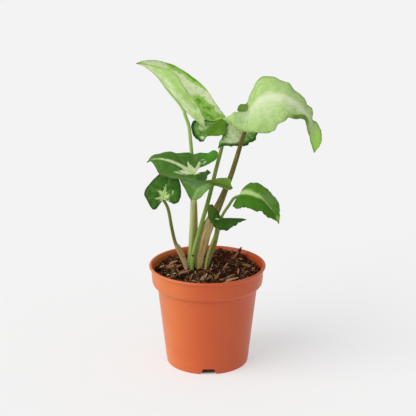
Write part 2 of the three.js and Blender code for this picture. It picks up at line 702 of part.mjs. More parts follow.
// ---- Soil ---------------------------------------------------------------------------------
function soilHeight(x, y) {
  let height = SOIL_LEVEL;
  for (const { at, height: rise, spread } of SOIL_BELLS) {
    height += rise * Math.exp(-((x - at[0]) ** 2 + (y - at[1]) ** 2) / (2 * spread ** 2));
  }
  const { size: broad } = BROAD_LUMP;
  height += BROAD_LUMP.height * Math.sin(x / broad + 1) * Math.cos(y / broad);
  return height + FINE_LUMP.height * Math.sin((x - y) / FINE_LUMP.size);
}

// The bare soil: it fills the pot to its wall, and its top follows soilHeight.
function soilBody() {
  const [floorPoint, bendPoint, footPoint, topPoint] = INSIDE.map(([r, z]) => [r - GAP, z + GAP]);
  const rise = (SOIL_LEVEL - footPoint[1]) / (topPoint[1] - footPoint[1]);
  const edgeRadius = THREE.MathUtils.lerp(footPoint[0], topPoint[0], rise);
  const profile = [[0, FLOOR_TOP + GAP], floorPoint, bendPoint, footPoint, [edgeRadius, SOIL_LEVEL]];
  for (let k = SOIL_RINGS; k >= 0; k--) profile.push([(edgeRadius * k) / (SOIL_RINGS + 0.5), SOIL_LEVEL]);
  const geometry = turned(profile);
  const position = geometry.attributes.position;
  for (let i = 0; i < position.count; i++) {
    if (position.getZ(i) < SOIL_LEVEL - GAP) continue;
    const [x, y] = [position.getX(i), position.getY(i)];
    const atEdge = Math.hypot(x, y) > 0.99 * edgeRadius;
    const offset = atEdge ? -EDGE_SETTLE : GRAIN * Math.sin(12.9 * x + 78.2 * y);
    position.setZ(i, soilHeight(x, y) + offset);
  }
  return toSolid(geometry);
}

// A splinter of bark, lying on the soil: a box with its corners knocked out of square.
function chip({ at: [x, y], size: [length, width, thickness], turn, tilt }, random) {
  const geometry = new THREE.BoxGeometry(length, width, thickness);
  const corner = geometry.attributes.position;
  const shifts = new Map();
  for (let i = 0; i < corner.count; i++) {
    const key = [corner.getX(i), corner.getY(i), corner.getZ(i)].map(Math.sign).join();
    if (!shifts.has(key)) shifts.set(key, CHIP_SKEW.map((skew) => between(random, [-skew, skew])));
    const [endwise, sideways] = shifts.get(key);
    corner.setX(i, corner.getX(i) + endwise * length);
    corner.setY(i, corner.getY(i) + sideways * width);
  }
  geometry.rotateY(-tilt).rotateZ(turn);
  return toSolid(geometry.translate(x, y, soilHeight(x, y) + thickness * (0.5 - CHIP_SINK)));
}

function scatteredChip(random) {
  const reach = SCATTER.reach * Math.sqrt(random());
  const bearing = 2 * Math.PI * random();
  return {
    at: [reach * Math.cos(bearing), reach * Math.sin(bearing)],
    size: [SCATTER.length, SCATTER.width, SCATTER.thickness].map((range) => between(random, range)),
    turn: Math.PI * random(),
    tilt: between(random, SCATTER.tilt),
  };
}

function soilSolid(stalkHoles) {
  const random = seededRandom(SCATTER.seed);
  let soil = soilBody();
  for (const placed of PLACED_CHIPS) {
    const [turn, tilt] = [placed.turn, placed.tilt].map(THREE.MathUtils.degToRad);
    soil = soil.add(chip({ ...placed, turn, tilt }, random));
  }
  for (let k = 0; k < SCATTER.count; k++) soil = soil.add(chip(scatteredChip(random), random));
  for (const hole of stalkHoles) soil = soil.subtract(hole);
  return soil.subtract(crownSolid(GAP));
}

// ---- Assembly -----------------------------------------------------------------------------
const group = new THREE.Group();

function addPiece(name, solid, color, roughness) {
  const material = new THREE.MeshStandardMaterial({ color, roughness, metalness: 0 });
  const mesh = new THREE.Mesh(toGeometry(solid), material);
  mesh.name = name;
  group.add(mesh);
}

const stalkHoles = LEAVES.map((leaf) => rod(stalkPoints(leaf), GAP));

addPiece('pot', potSolid(), 0xc8613b, 0.45);
addPiece('soil', soilSolid(stalkHoles), 0x2f1d12, 0.95);
addPiece('crown_stem', crownSolid(), 0x9a9a5c, 0.7);
for (const leaf of LEAVES) {
  addPiece(leaf.name, bladeSolid(leaf).add(rod(stalkPoints(leaf))), leaf.colour, 0.5);
}

export default group;
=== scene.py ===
"""A young arrowhead plant in a round plastic nursery pot, finished over its CAD frame."""

import json
import math
import random

import bmesh
import bpy
from mathutils import Matrix, Vector, kdtree, noise


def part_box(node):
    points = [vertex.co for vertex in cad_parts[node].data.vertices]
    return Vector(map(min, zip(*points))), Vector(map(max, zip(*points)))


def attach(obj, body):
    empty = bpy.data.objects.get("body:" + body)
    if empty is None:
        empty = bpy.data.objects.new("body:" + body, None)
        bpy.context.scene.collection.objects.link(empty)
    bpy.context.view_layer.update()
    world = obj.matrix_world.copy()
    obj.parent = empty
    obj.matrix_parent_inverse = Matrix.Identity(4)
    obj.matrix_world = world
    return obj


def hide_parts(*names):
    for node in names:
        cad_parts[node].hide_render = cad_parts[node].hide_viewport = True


bl_info = {
    "name": "Potted arrowhead plant",
    "version": (1, 0, 0),
    "blender": (4, 5, 0),
    "location": "View3D > Sidebar > Plant",
    "description": "Builds the pot, the soil and the leaves of a young arrowhead plant",
    "category": "Object",
}

MM = 0.001  # the frame is in metres, the plant is measured in millimetres
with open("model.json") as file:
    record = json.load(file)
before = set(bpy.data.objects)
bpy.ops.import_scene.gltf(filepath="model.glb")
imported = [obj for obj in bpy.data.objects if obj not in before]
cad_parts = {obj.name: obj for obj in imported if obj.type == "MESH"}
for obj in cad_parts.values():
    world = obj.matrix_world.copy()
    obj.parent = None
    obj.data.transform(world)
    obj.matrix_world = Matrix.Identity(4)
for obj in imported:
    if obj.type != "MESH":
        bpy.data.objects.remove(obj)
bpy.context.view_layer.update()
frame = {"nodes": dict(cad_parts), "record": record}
POT_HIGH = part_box("pot")[1]


def srgb(red, green, blue):
    """Linear values for a colour given in 0 to 255 steps."""
    def linear(step):
        share = step / 255
        return share / 12.92 if share <= 0.04045 else ((share + 0.055) / 1.055) ** 2.4
    return (linear(red), linear(green), linear(blue))


def solid_colour(colour):
    return (*colour, 1.0)


def shaded(colour, factor):
    """A colour made darker, or lighter up to white."""
    return tuple(min(channel * factor, 1.0) for channel in colour)


# ---- Settings -------------------------------------------------------------------------------
def length(name, description, millimetres, low=0.0, high=1000.0):
    return bpy.props.FloatProperty(
        name=name,
        description=description,
        default=millimetres * MM,
        min=low * MM,
        max=high * MM,
        subtype="DISTANCE",
        unit="LENGTH",
    )


def colour(name, description, red, green, blue):
    return bpy.props.FloatVectorProperty(
        name=name,
        description=description,
        default=srgb(red, green, blue),
        min=0.0,
        max=1.0,
        size=3,
        subtype="COLOR",
    )


def count(name, description, default):
    return bpy.props.IntProperty(name=name, description=description, default=default, min=0)


def amount(name, description, default):
    return bpy.props.FloatProperty(name=name, description=description, default=default, min=0.0)


class PotSettings(bpy.types.PropertyGroup):
    height: length("Height", "Height of the pot over its lip", POT_HIGH.z / MM)
    rim_radius: length("Rim radius", "Outside radius of the rounded lip", POT_HIGH.x / MM)
    body_radius: length("Body radius", "Outside radius of the body under the collar", 38.7)
    base_radius: length("Base radius", "Outside radius of the foot", 31.8)
    collar_drop: length("Collar drop", "From the top of the lip to the collar's lower edge", 17)
    wall: length("Wall", "Thickness of the moulded wall", 1.2)
    plastic: colour("Plastic", "Colour of the moulded plastic", 198, 84, 37)
    # Painted light: the left side of the pot, towards the key light, is mixed towards this lighter, more
    # orange colour.
    lit_side: colour("Lit plastic", "Plastic lightened on the side towards the window", 214, 118, 56)
    turns: count("Turn steps", "Facets round the pot", 144)


class SoilSettings(bpy.types.PropertyGroup):
    level: length("Level", "Height of the soil before its mound and hollow", 71.6)
    peat: colour("Peat", "Darkest peat", 20, 12, 8)
    earth: colour("Earth", "Lighter peat on the crumbs", 92, 54, 34)
    # the peat is mixed towards this colour at the back right
    back_red: colour("Redness", "Reddish peat at the back", 104, 48, 26)
    bark: colour("Bark", "Weathered bark", 172, 122, 80)
    straw: colour("Straw", "Palest straw and slivers", 226, 208, 168)
    fibre: colour("Fibre", "Pale root fibres", 214, 186, 142)
    chips: count("Chips", "Scattered splinters of bark", 900)
    crumbs: count("Crumbs", "Loose crumbs of peat", 1300)
    fibres: count("Fibres", "Thin fibres and roots", 120)


class LeafSettings(bpy.types.PropertyGroup):
    thickness: length("Blade thickness", "Thickness of a blade", 0.5, 0.1, 2)
    vein_depth: length("Vein depth", "How deep side veins sink into the upper face", 0.08, 0, 1)
    step: length("Mesh step", "Mesh step along a blade", 0.9, 0.3, 5)
    across: count("Steps across", "Mesh steps from midrib to margin", 16)
    scorch: colour("Scorch", "Dry tips and edges", 104, 78, 34)


class StageSettings(bpy.types.PropertyGroup):
    paper: colour("Paper", "Floor", 176, 176, 177)
    glow: amount("Glow", "Light that the floor sends up through its paper", 0.47)
    sky: amount("Sky", "Strength of the even light from all round", 0.56)
    backdrop: amount("Backdrop", "Brightness of the room as the camera sees it", 0.91)
    sun: amount("Sun", "Strength of the soft key light", 2.3)
    eye: bpy.props.FloatVectorProperty(
        name="Eye",
        description="Place of the camera",
        default=(0.0005, -0.842, 0.378),
        size=3,
        subtype="TRANSLATION",
        unit="LENGTH",
    )
    pitch: bpy.props.FloatProperty(
        name="Pitch",
        description="How far the camera looks down",
        default=math.radians(16.8),
        subtype="ANGLE",
    )


# ---- Leaves ---------------------------------------------------------------------------------
# Points are in millimetres. A leaf has a stalk of [x, y, z, half width], a midrib out to the tip,
# and two halves: the sinus edge from the stalk's top back to the lobe tip, the margin from there
# to the leaf tip, the margin point beside the stalk's top (shoulder), and a bulge (camber).
# A fold is the flap of a lobe that is turned over: it starts at one of the points of the left sinus
# edge (hinge, counted from 1), and its margin runs from there back to the stalk's top.
STALK_FOOT = 66.3  # height at which a stalk stands on the crown
STALK_OUT = 72  # height at which it comes out of the soil
LEAVES = {}
LEAVES["leaf_upper_left"] = {
    "stalk": [
        (-10.8, 15.6, STALK_FOOT, 1.5), (-10.8, 15.6, STALK_OUT, 1.5), (-9, 13.2, 98.5, 1.5),
        (-9.5, 10.8, 127.5, 1.5), (-11.5, 8.5, 159.5, 1.4), (-13.5, 7, 183, 1.3), (-16, 5, 197.5, 1.3),
    ],
    "rib": [(-20.5, 4, 204.5), (-29, 2.5, 214.5), (-37, 1, 225), (-45.5, -0.5, 232), (-52, -2, 235)],
    "left": {
        "sinus": [(-9.5, -1, 193), (-1.5, -4, 187.5)],
        "margin": [
            (-2.5, -8, 195.5), (-7.5, -11, 206), (-13, -12.5, 213.5), (-17.5, -13, 220.5),
            (-23, -11.5, 228.5), (-31, -8.5, 232), (-40, -5, 234),
        ],
        "shoulder": 2, "camber": -0.16,
    },
    "right": {
        "sinus": [(-8, 10, 193.5), (3, 15, 188), (9, 17, 188.6), (14, 18, 190.7)],
        "margin": [
            (6.5, 20, 200.5), (-0.5, 21, 211), (-8, 20.5, 218.5), (-15, 19, 224), (-24.5, 15, 230.5),
            (-36, 9, 235), (-45, 3, 236.5),
        ],
        "shoulder": 1, "camber": -0.12,
    },
}
LEAVES["leaf_upper_right"] = {
    "stalk": [
        (-6.5, 11, STALK_FOOT, 3), (-6.5, 11, STALK_OUT, 3.1), (-6, 10.3, 82, 3.8), (-4, 9.5, 91, 4.6),
        (-1, 8, 103, 4.6), (8.5, 6.5, 123.5, 3), (14, 5, 137.5, 2.2), (19.3, 2.8, 153, 1.9),
        (27.5, 0, 182.5, 1.6), (32, 3, 198.5, 1.4),
    ],
    "rib": [
        (38.5, 2, 206.5), (45.5, 0, 209.5), (53.5, -2, 210.5), (60, -3.5, 208.5), (67, -4.5, 204),
        (73.5, -4, 197), (78.5, -1, 187), (80.5, 2, 176.5), (80.5, 4, 166),
    ],
    "left": {
        "sinus": [(29, 8, 196), (26, 12, 194.8), (22.5, 15, 196.3)],
        "margin": [
            (24.5, 16, 200.5), (29.5, 15, 201), (31.5, 14.5, 206), (35, 14, 213.5), (37.5, 14, 219),
            (42, 14, 222), (48.5, 13, 222), (54, 12, 220), (61, 10, 217.5), (65.4, 8, 212.3),
            (70.5, 6.5, 209.2), (73.5, 5.5, 205.7), (74.2, 4.8, 202.4), (77.4, 3.6, 200.5),
            (78.5, 3, 196.8), (78.3, 2.8, 192), (82.1, 2.5, 189.3), (84.8, 2.8, 183.5), (85.5, 5, 174),
        ],
        "shoulder": 3, "camber": 0.05,
    },
    "right": {
        "sinus": [
            (28.5, -1, 198.5), (24.5, -4, 199), (19.5, -6, 199.2), (16.5, -7, 197), (10.5, -8, 194.6),
        ],
        "margin": [
            (18.5, -12, 191), (22, -14, 188), (29, -16, 187), (35, -17, 186.5), (42.5, -17, 186),
            (49, -16, 187.5), (52, -15, 192.5), (56.5, -14, 194), (59.5, -12, 196.5), (65.5, -8, 194.5),
            (71, -8, 194.5), (74, -6, 187), (76.5, -2, 177),
        ],
        "shoulder": 3, "camber": 0.1,
    },
}
LEAVES["leaf_middle_back"] = {
    "stalk": [
        (-12.2, 8.6, STALK_FOOT, 1.6), (-12.2, 8.6, STALK_OUT, 1.7), (-10.9, 7.2, 83, 1.7),
        (-7.6, 5.6, 98.5, 1.6), (0.5, 6, 127, 1.6), (6.5, 8.5, 151.5, 1.5), (11, 9, 169.5, 1.4),
        (14, 8, 187, 1.2),
    ],
    "rib": [(23, 16, 191), (34, 26, 192), (44, 38, 188.5)],
    "left": {
        "sinus": [
            (13.9, 7.5, 182.8), (12, 7, 179.9), (8, 7, 178.7), (1.5, 7, 178.6), (-0.6, 7.3, 177.5),
            (-2.9, 8, 173.8),
        ],
        "margin": [
            (-5.5, 8, 173.8), (-7.8, 8, 175.5), (-10.2, 9, 178), (-12, 9.5, 182.5), (-12, 10, 186.5),
            (-9.5, 10.5, 190), (-3.5, 15.5, 189.2), (4, 20.5, 187.8), (12.5, 24, 187.4), (22, 29, 188),
            (33, 34, 190.5),
        ],
        "shoulder": 8, "camber": -0.08,
    },
    "right": {
        "sinus": [
            (14.5, 10, 184.2), (14.2, 9.5, 181.2), (13, 6.5, 178.5), (9.5, 4.5, 175.5), (8, 3, 169.5),
        ],
        "margin": [
            (12, 3, 171.5), (18, 3, 171.5), (24, 4, 171.5), (28.5, 5, 171), (31.5, 7, 172.5),
            (36, 10, 174.5), (38, 15, 178), (42, 25, 183.5),
        ],
        "shoulder": 4, "camber": 0.06,
    },
    "fold": {
        "hinge": 4,
        "margin": [
            (-2.9, 3, 181), (-1, 2, 183.9), (2, 0.5, 187.5), (5.3, 0, 190.4), (9.1, 1, 192),
            (12.8, 4, 190.8), (14.2, 6, 188.9),
        ],
        "camber": 0.1,
    },
}
LEAVES["leaf_middle_left"] = {
    "stalk": [
        (-14.6, 15.2, STALK_FOOT, 1.3), (-14.6, 15.2, STALK_OUT, 1.3), (-12.9, 13.3, 98, 1.3),
        (-11.7, 8.4, 123.5, 1.3), (-11.5, 5.6, 138, 1.2), (-11, 3.4, 147.5, 1.2), (-9.5, -4, 151.5, 1.2),
    ],
    "rib": [
        (-17, -7, 156.5), (-21.5, -8.5, 160), (-27.5, -10, 163), (-34.5, -11, 165), (-40.5, -11, 164.5),
        (-45, -10, 162),
    ],
    "left": {
        "sinus": [(-5.5, -6, 153.5), (-1.5, -8, 154.6), (0, -8.3, 156.1), (2.7, -9, 153.9)],
        "margin": [
            (0, -11, 152.5), (-1, -14, 149.5), (-10.5, -16, 150), (-19.5, -17, 151), (-26, -17.5, 152),
            (-31, -17.5, 153.5), (-35.5, -17, 155), (-39.3, -14, 161), (-42, -12, 163.5),
        ],
        "shoulder": 3, "camber": 0.1,
    },
    "right": {
        "sinus": [(-6, -1, 155.5), (-2.5, 0.5, 156.5), (2, 1.5, 158.5), (7, 2, 162), (8, 2.5, 166.5)],
        "margin": [
            (5, 3, 168.5), (0, 3, 166), (-5, 2.5, 166.5), (-10, 2, 165.5), (-14.5, 1.5, 167),
            (-22, -0.5, 166.5), (-27.5, -2.5, 168.5), (-35, -5.5, 168), (-41, -8.5, 166.5),
        ],
        "shoulder": 4, "camber": 0.08,
    },
}
LEAVES["leaf_lower_left"] = {
    "stalk": [
        (-16.2, 7.6, STALK_FOOT, 1.6), (-16.2, 7.6, STALK_OUT, 1.7), (-18.8, 6.6, 81, 2.3),
        (-22.4, 4.6, 90, 2.2), (-24.8, 3.4, 95, 1.4), (-27.2, -2, 108.5, 1.3), (-29.5, -9, 125.5, 1.2),
        (-33, -14, 134.5, 1.1),
    ],
    "rib": [(-31.5, -13, 141.5), (-29.5, -10.5, 149), (-28.5, -8, 154.5)],
    "left": {
        "sinus": [(-35, -15, 132), (-38.1, -16, 128)],
        "margin": [
            (-40.1, -16, 127.3), (-42.1, -16, 128.8), (-45.5, -15.5, 135.5), (-47, -15, 139),
            (-46, -14, 142.5), (-42.5, -12, 147), (-38.5, -10.5, 151), (-34, -9, 154),
        ],
        "shoulder": 3, "camber": 0.08,
    },
    "right": {
        "sinus": [(-29.5, -16, 134), (-25, -17, 132)],
        "margin": [
            (-22, -16.5, 133), (-20, -15.5, 136.5), (-19.5, -14, 141.5), (-20.3, -12, 147),
            (-22.8, -10, 152),
        ],
        "shoulder": 2, "camber": 0.08,
    },
}
LEAVES["leaf_centre_cupped"] = {
    "stalk": [
        (-13.2, 12.4, STALK_FOOT, 1.4), (-13.2, 12.4, STALK_OUT, 1.4), (-12.4, 11, 90.5, 1.6),
        (-11.6, 8, 108.5, 1.6), (-11, 3.5, 123.5, 1.6), (-10.5, -1, 131.5, 1.5),
    ],
    "rib": [(-7, -5, 140), (-2, -6, 144), (5, -4, 144.5), (12, -3, 143.5), (19.3, -2, 140.1)],
    "left": {
        "sinus": [(-12.5, -2, 131)],
        "margin": [
            (-15, -2, 135), (-17, -3, 139.5), (-19.3, -4.5, 144.5), (-20.3, -6.5, 148.3),
            (-14.5, -7.5, 148.5), (-8.5, -6, 147.2), (-3, -3, 146.2), (2, 0, 145.9), (8, 0, 147.3),
            (15.5, 0, 147.5), (18.2, -1, 146), (17.7, -1.5, 143.2),
        ],
        "shoulder": 1, "camber": -0.1,
    },
    "right": {
        "sinus": [(-9.5, -5, 131.5)],
        "margin": [
            (-6.5, -9, 134), (-3.5, -10, 136.5), (0, -9.5, 140.5), (3.5, -7, 143), (7.5, -5, 142.5),
            (12, -4, 140.5), (17, -3, 138.9),
        ],
        "shoulder": 1, "camber": -0.1,
    },
}
LEAVES["leaf_right"] = {
    "stalk": [
        (-0.8, 12, STALK_FOOT, 1.9), (-0.8, 12, STALK_OUT, 2), (1.6, 10.8, 82, 2.5), (4.6, 9.5, 91, 2.5),
        (7.3, 7.2, 101, 1.9), (11, 4, 115.5, 1.2), (16.5, 0, 126, 1.1), (20, -2, 132, 1.1),
        (24.5, -3, 135.5, 1),
    ],
    "rib": [
        (30.5, -6, 137), (36.5, -8, 136), (40.5, -9, 134), (44.5, -10, 130), (50, -10, 123.5),
        (54, -9, 114),
    ],
    "left": {
        "sinus": [(27, 1, 136.4), (29.8, 6, 137.3)],
        "margin": [
            (31.6, 6, 140.3), (33.6, 6, 141.6), (37.5, 5, 142.2), (43.4, 3, 139.3), (48.3, 1, 135.4),
            (53.1, -1, 129.4), (55, -4, 121.8),
        ],
        "shoulder": 2, "camber": 0.1,
    },
    "right": {
        "sinus": [(21.5, -6, 132), (19, -11, 128.5)],
        "margin": [
            (22.5, -14, 127), (26, -15, 129.5), (31.5, -16, 128), (36.5, -16, 126.5), (41, -16, 125.5),
            (45, -15, 121.5), (51, -12, 118),
        ],
        "shoulder": 2, "camber": 0.1,
    },
}
LEAVES["leaf_front_small"] = {
    "stalk": [
        (-1.2, 8, STALK_FOOT, 1.1), (-1.2, 8, STALK_OUT, 1.1), (0.6, 6.6, 82, 1.1), (3, 5, 91, 1.1),
        (5.9, 2.2, 101, 1.1), (6.8, -3, 108, 1), (7.3, -9, 114, 1), (7.5, -13, 118.5, 0.9),
    ],
    "rib": [(14, -12, 119), (21.5, -12, 119), (29.5, -13, 118.5)],
    "left": {
        "sinus": [
            (3.5, -12.8, 117.5), (1, -12.5, 119), (0.4, -12, 123), (0.4, -10.5, 126.5), (1.6, -8, 128.8),
        ],
        "margin": [
            (3.7, -7.5, 128.3), (6.2, -7, 125.4), (8.5, -7.5, 121.5), (10.3, -7.3, 118.6), (13, -7, 117.6),
            (19.4, -7, 117.3), (25.4, -9, 117.9),
        ],
        "shoulder": 3, "camber": 0.06,
    },
    "right": {
        "sinus": [(4.5, -14.5, 119), (2, -15, 117)],
        "margin": [
            (3.5, -17, 116), (6, -19, 114), (10.5, -20, 113), (15, -20, 112.5), (18.5, -19, 115),
            (21.5, -17.5, 116), (26.5, -15, 118),
        ],
        "shoulder": 2, "camber": 0.08,
    },
}
ROUND_STALK = 1.6  # a stalk wider than this is a flattened sheath
SHEATH_DEPTH_GAIN = 0.35
RIB_REACH = 0.94  # the midrib stands out of the blade this far towards the tip
RIB_START_SHARE = 0.8
RIB_END_RADIUS = 0.12
RIB_TAPER = 1.2
RIB_STEP = 2  # mesh steps of the blade to each of the midrib
STALK_SINKS_FROM = 0.85  # from here up, the stalk bends to the underside of its blade
STALK_SIDES = 20
STALK_STEP = 1.5  # mesh step along a stalk, in millimetres
FINE_STEPS = 12  # measuring steps to each mesh step along an edge

# some patches and under_shades are painted light and painted shade, as said at each leaf
# How each leaf is marked. Lengths are in millimetres, colours in 0 to 255 steps.
#   green, light, rim: the blade's own green, its lighter mottle, and the margin's colour
#   star:     reach of the cream star along the veins, on the blade and on each lobe, and its centre
#   band:     half width of the cream band along the midrib, how far it goes, and that of a thin line
#   blotches: cream areas as (along, across, length, width, strength); negative ones are dark
#   blur:     how softly a blotch fades, from 0 to 0.5
#   patches:  areas in a colour of their own: side, from, to, how far in from the margin, colour
#   edge:     width of the margin's band;  dusty: dark flecks near it;  ragged: how far marks stray
#   speckle:  share of cream flecks;       seam: how green the midrib's line is inside the cream
#   veins:    side veins to each half;     vein_show: how plain they are
#   under:    colour of the underside;     crimp, wave: size of the margin's teeth and waves
#   under_shades: paler areas of the underside, given as blotches are; negative ones are darker
#   stalk:    colours up the stalk, each from a height;  scar: place of a dark spot on it
LEFT, RIGHT, BOTH = (1,), (-1,), (1, -1)
WHOLE = 99  # how far in a patch reaches that isn't kept to the margin
PLAIN_MARKS = {
    "cream": (222, 232, 186), "star": (0, 0, 0), "centre": 0.0, "band": (0, 1.0, 0), "blotches": [],
    "blur": 0.25, "patches": [], "edge": 1.0, "ragged": 2.5, "speckle": 0.0, "dusty": 0.0, "veins": 6,
    "vein_show": 0.3, "seam": 0.3, "crimp": 0.25, "wave": 0.4, "streaky": 0.0, "scar": None,
    "under_shades": [],
}
MARKINGS = {}
MARKINGS["leaf_upper_left"] = {
    # Painted light: the upper face's colours are lighter than the leaf's own, to make up for the shade on
    # its far half.
    "green": (146, 206, 64), "light": (206, 240, 136), "rim": (98, 172, 20), "cream": (248, 255, 212),
    "edge": 0.3, "ragged": 5, "speckle": 0.6, "veins": 9, "vein_show": 0.1, "dusty": 0.3, "seam": 0.0,
    "blotches": [
        (0.78, -0.8, 0.2, 0.34, 1.1), (0.42, -0.7, 0.12, 0.2, 1.2), (0.22, -0.72, 0.09, 0.2, 1.2),
        (0.12, -0.42, 0.07, 0.1, 0.9), (0.06, -0.96, 0.14, 0.18, 0.9), (-0.55, -0.94, 0.4, 0.2, 1.0),
        (0.6, -1.02, 0.05, 0.12, -1.6), (0.35, -1.04, 0.15, 0.13, -1.6), (0.31, -0.3, 0.08, 0.1, -1.4),
        (0.09, -0.62, 0.05, 0.1, -1.2), (-0.15, -0.68, 0.16, 0.13, -1.1), (-0.45, -0.3, 0.3, 0.14, -0.7),
    ],
    "under": (158, 196, 106), "under_streak": (212, 226, 176), "crimp": 0.15, "wave": 0.25, "streaky": 0.8,
    # Painted shade: the darker areas along the fold of the underside stand for the fold's shadow.
    "under_shades": [
        (0.3, 0.45, 0.5, 0.22, 0.35), (0.62, 0.98, 0.34, 0.16, -0.55), (0.92, 0.5, 0.1, 0.5, 0.3),
        (0.5, 0.74, 0.14, 0.12, -0.4), (0.3, 0.0, 0.4, 0.12, -0.35), (0.1, 0.9, 0.2, 0.12, -0.4),
        (-0.45, 0.5, 0.3, 0.14, -0.4), (-0.2, 0.4, 0.12, 0.2, 0.4),
    ],
    # Painted light: the lower colours are lighter than the stalk's own, to make up for the shade it stands
    # in.
    "stalk": [
        (70, (190, 160, 104)), (112, (208, 180, 120)), (134, (156, 178, 100)), (150, (142, 176, 90)),
        (200, (156, 190, 104)),
    ],
}
MARKINGS["leaf_upper_right"] = {
    "green": (154, 188, 106), "light": (184, 206, 146), "rim": (84, 132, 34), "cream": (204, 216, 178),
    "star": (3, 2, 3), "band": (0.4, 0.8, 0.1), "edge": 0.6, "ragged": 2.6, "speckle": 0.1, "dusty": 0.9,
    "veins": 8, "vein_show": 0.1, "seam": 0.0, "blur": 0.5,
    "blotches": [
        (0.2, 0.0, 0.34, 0.16, 0.55), (0.2, -0.2, 0.5, 0.45, 0.42), (0.55, -0.05, 0.17, 0.35, 0.5),
        (-0.25, -0.3, 0.35, 0.4, 0.42),
    ],
    # Painted shade: the dark olive far lobe and the olive strip along the fold. Painted light: the lighter
    # green tip, which faces away from the key light.
    "patches": [
        (LEFT, -1.0, -0.1, WHOLE, (84, 118, 26)), (RIGHT, 0.47, 0.66, 3.0, (84, 114, 28)),
        (BOTH, 0.8, 1.2, WHOLE, (166, 218, 92)),
    ],
    "under": (112, 142, 46), "under_streak": (140, 166, 76), "crimp": 0.5, "wave": 0.5,
    "stalk": [
        (68, (168, 176, 88)), (80, (218, 194, 132)), (104, (216, 192, 132)), (122, (136, 120, 60)),
        (140, (88, 80, 24)), (170, (80, 76, 18)), (196, (98, 98, 36)),
    ],
}
MARKINGS["leaf_middle_back"] = {
    "green": (62, 120, 28), "light": (144, 196, 92), "rim": (24, 66, 18), "cream": (200, 216, 168),
    "star": (5, 6, 5), "band": (2, 0.5, 0), "edge": 2.0, "ragged": 4.5, "speckle": 0.65, "dusty": 0.8,
    "seam": 0.1, "veins": 7, "vein_show": 0.15,
    "blotches": [
        (-0.3, -0.5, 0.34, 0.36, 1.3), (0.06, -0.36, 0.2, 0.3, 1.2), (-0.5, 0.6, 0.14, 0.2, 0.7),
        (-0.35, 0.35, 0.15, 0.2, 0.8), (-0.85, 0.4, 0.12, 0.25, 0.9), (0.3, -0.6, 0.14, 0.2, 0.5),
    ],
    "under": (102, 150, 42), "under_streak": (126, 172, 60), "crimp": 0.9, "wave": 0.4,
    "stalk": [
        (68, (152, 190, 92)), (84, (146, 186, 92)), (112, (126, 166, 68)), (130, (112, 146, 48)),
        (186, (116, 138, 58)),
    ],
    "scar": (-11.4, 5.6, 83.4),
}
MARKINGS["leaf_middle_left"] = {
    "green": (68, 112, 38), "light": (92, 132, 56), "rim": (60, 100, 30), "cream": (224, 238, 186),
    "star": (16, 6, 16), "centre": 0.04, "band": (1.9, 1.0, 0.3), "edge": 0.3, "ragged": 2.4, "veins": 5,
    "vein_show": 0.08,
    "blotches": [
        (0.05, -0.1, 0.13, 0.14, 1.0), (0.12, -0.26, 0.035, 0.1, 0.9), (0.16, -0.4, 0.022, 0.1, 0.9),
        (-0.1, -0.18, 0.08, 0.16, 0.9), (-0.2, -0.36, 0.06, 0.12, 0.9), (-0.34, -0.5, 0.09, 0.05, 0.7),
        (0.14, 0.26, 0.1, 0.22, 0.9), (0.26, 0.42, 0.1, 0.09, 0.8), (0.33, 0.6, 0.14, 0.06, 0.7),
    ],
    "patches": [
        (RIGHT, -1.2, -0.26, WHOLE, (74, 136, 40)), (LEFT, -1.2, -0.14, WHOLE, (52, 84, 36)),
        (LEFT, 0.0, 0.6, 1.4, (92, 122, 66)),
    ],
    "under": (112, 146, 72), "under_streak": (136, 166, 98), "crimp": 0.3, "wave": 0.5,
    "stalk": [(68, (150, 168, 96)), (110, (160, 182, 104)), (150, (150, 160, 88))],
}
MARKINGS["leaf_lower_left"] = {
    "green": (46, 84, 24), "light": (76, 126, 38), "rim": (28, 70, 20), "cream": (182, 208, 134),
    "star": (8.8, 6, 7.5), "centre": 0.15, "band": (0.7, 0.5, 0), "edge": 1.5, "ragged": 3.4,
    "speckle": 0.12, "veins": 5, "vein_show": 0.1, "seam": 0.6,
    "blotches": [
        (0.1, -0.24, 0.1, 0.18, 0.8), (0.04, 0.34, 0.05, 0.24, 0.7), (0.27, 0.3, 0.05, 0.22, 0.75),
        (0.24, -0.52, 0.1, 0.06, 0.7), (0.05, 0.78, 0.03, 0.05, 0.7), (0.16, 0.08, 0.13, 0.16, 0.8),
    ],
    "under": (110, 146, 78), "under_streak": (136, 166, 104), "crimp": 0.25, "wave": 0.4,
    "stalk": [(68, (212, 170, 132)), (90, (196, 170, 114)), (97, (108, 114, 42)), (132, (104, 118, 42))],
}
MARKINGS["leaf_centre_cupped"] = {
    "green": (124, 172, 84), "light": (156, 196, 120), "rim": (104, 148, 64), "cream": (180, 212, 144),
    "star": (5, 3, 3), "band": (1.0, 0.45, 0), "edge": 0.8, "ragged": 3,
    "patches": [
        (LEFT, 0.5, 1.2, WHOLE, (100, 130, 36)), (RIGHT, 0.5, 1.2, WHOLE, (86, 104, 24)),
        (LEFT, -1.2, 0.2, WHOLE, (106, 164, 66)), (LEFT, 0.26, 0.44, WHOLE, (106, 144, 90)),
    ],
    "under": (104, 158, 66), "under_streak": (160, 198, 122), "veins": 6, "vein_show": 0.15,
    "stalk": [(68, (168, 190, 90)), (100, (196, 212, 134)), (128, (202, 210, 134)), (132, (222, 194, 134))],
}
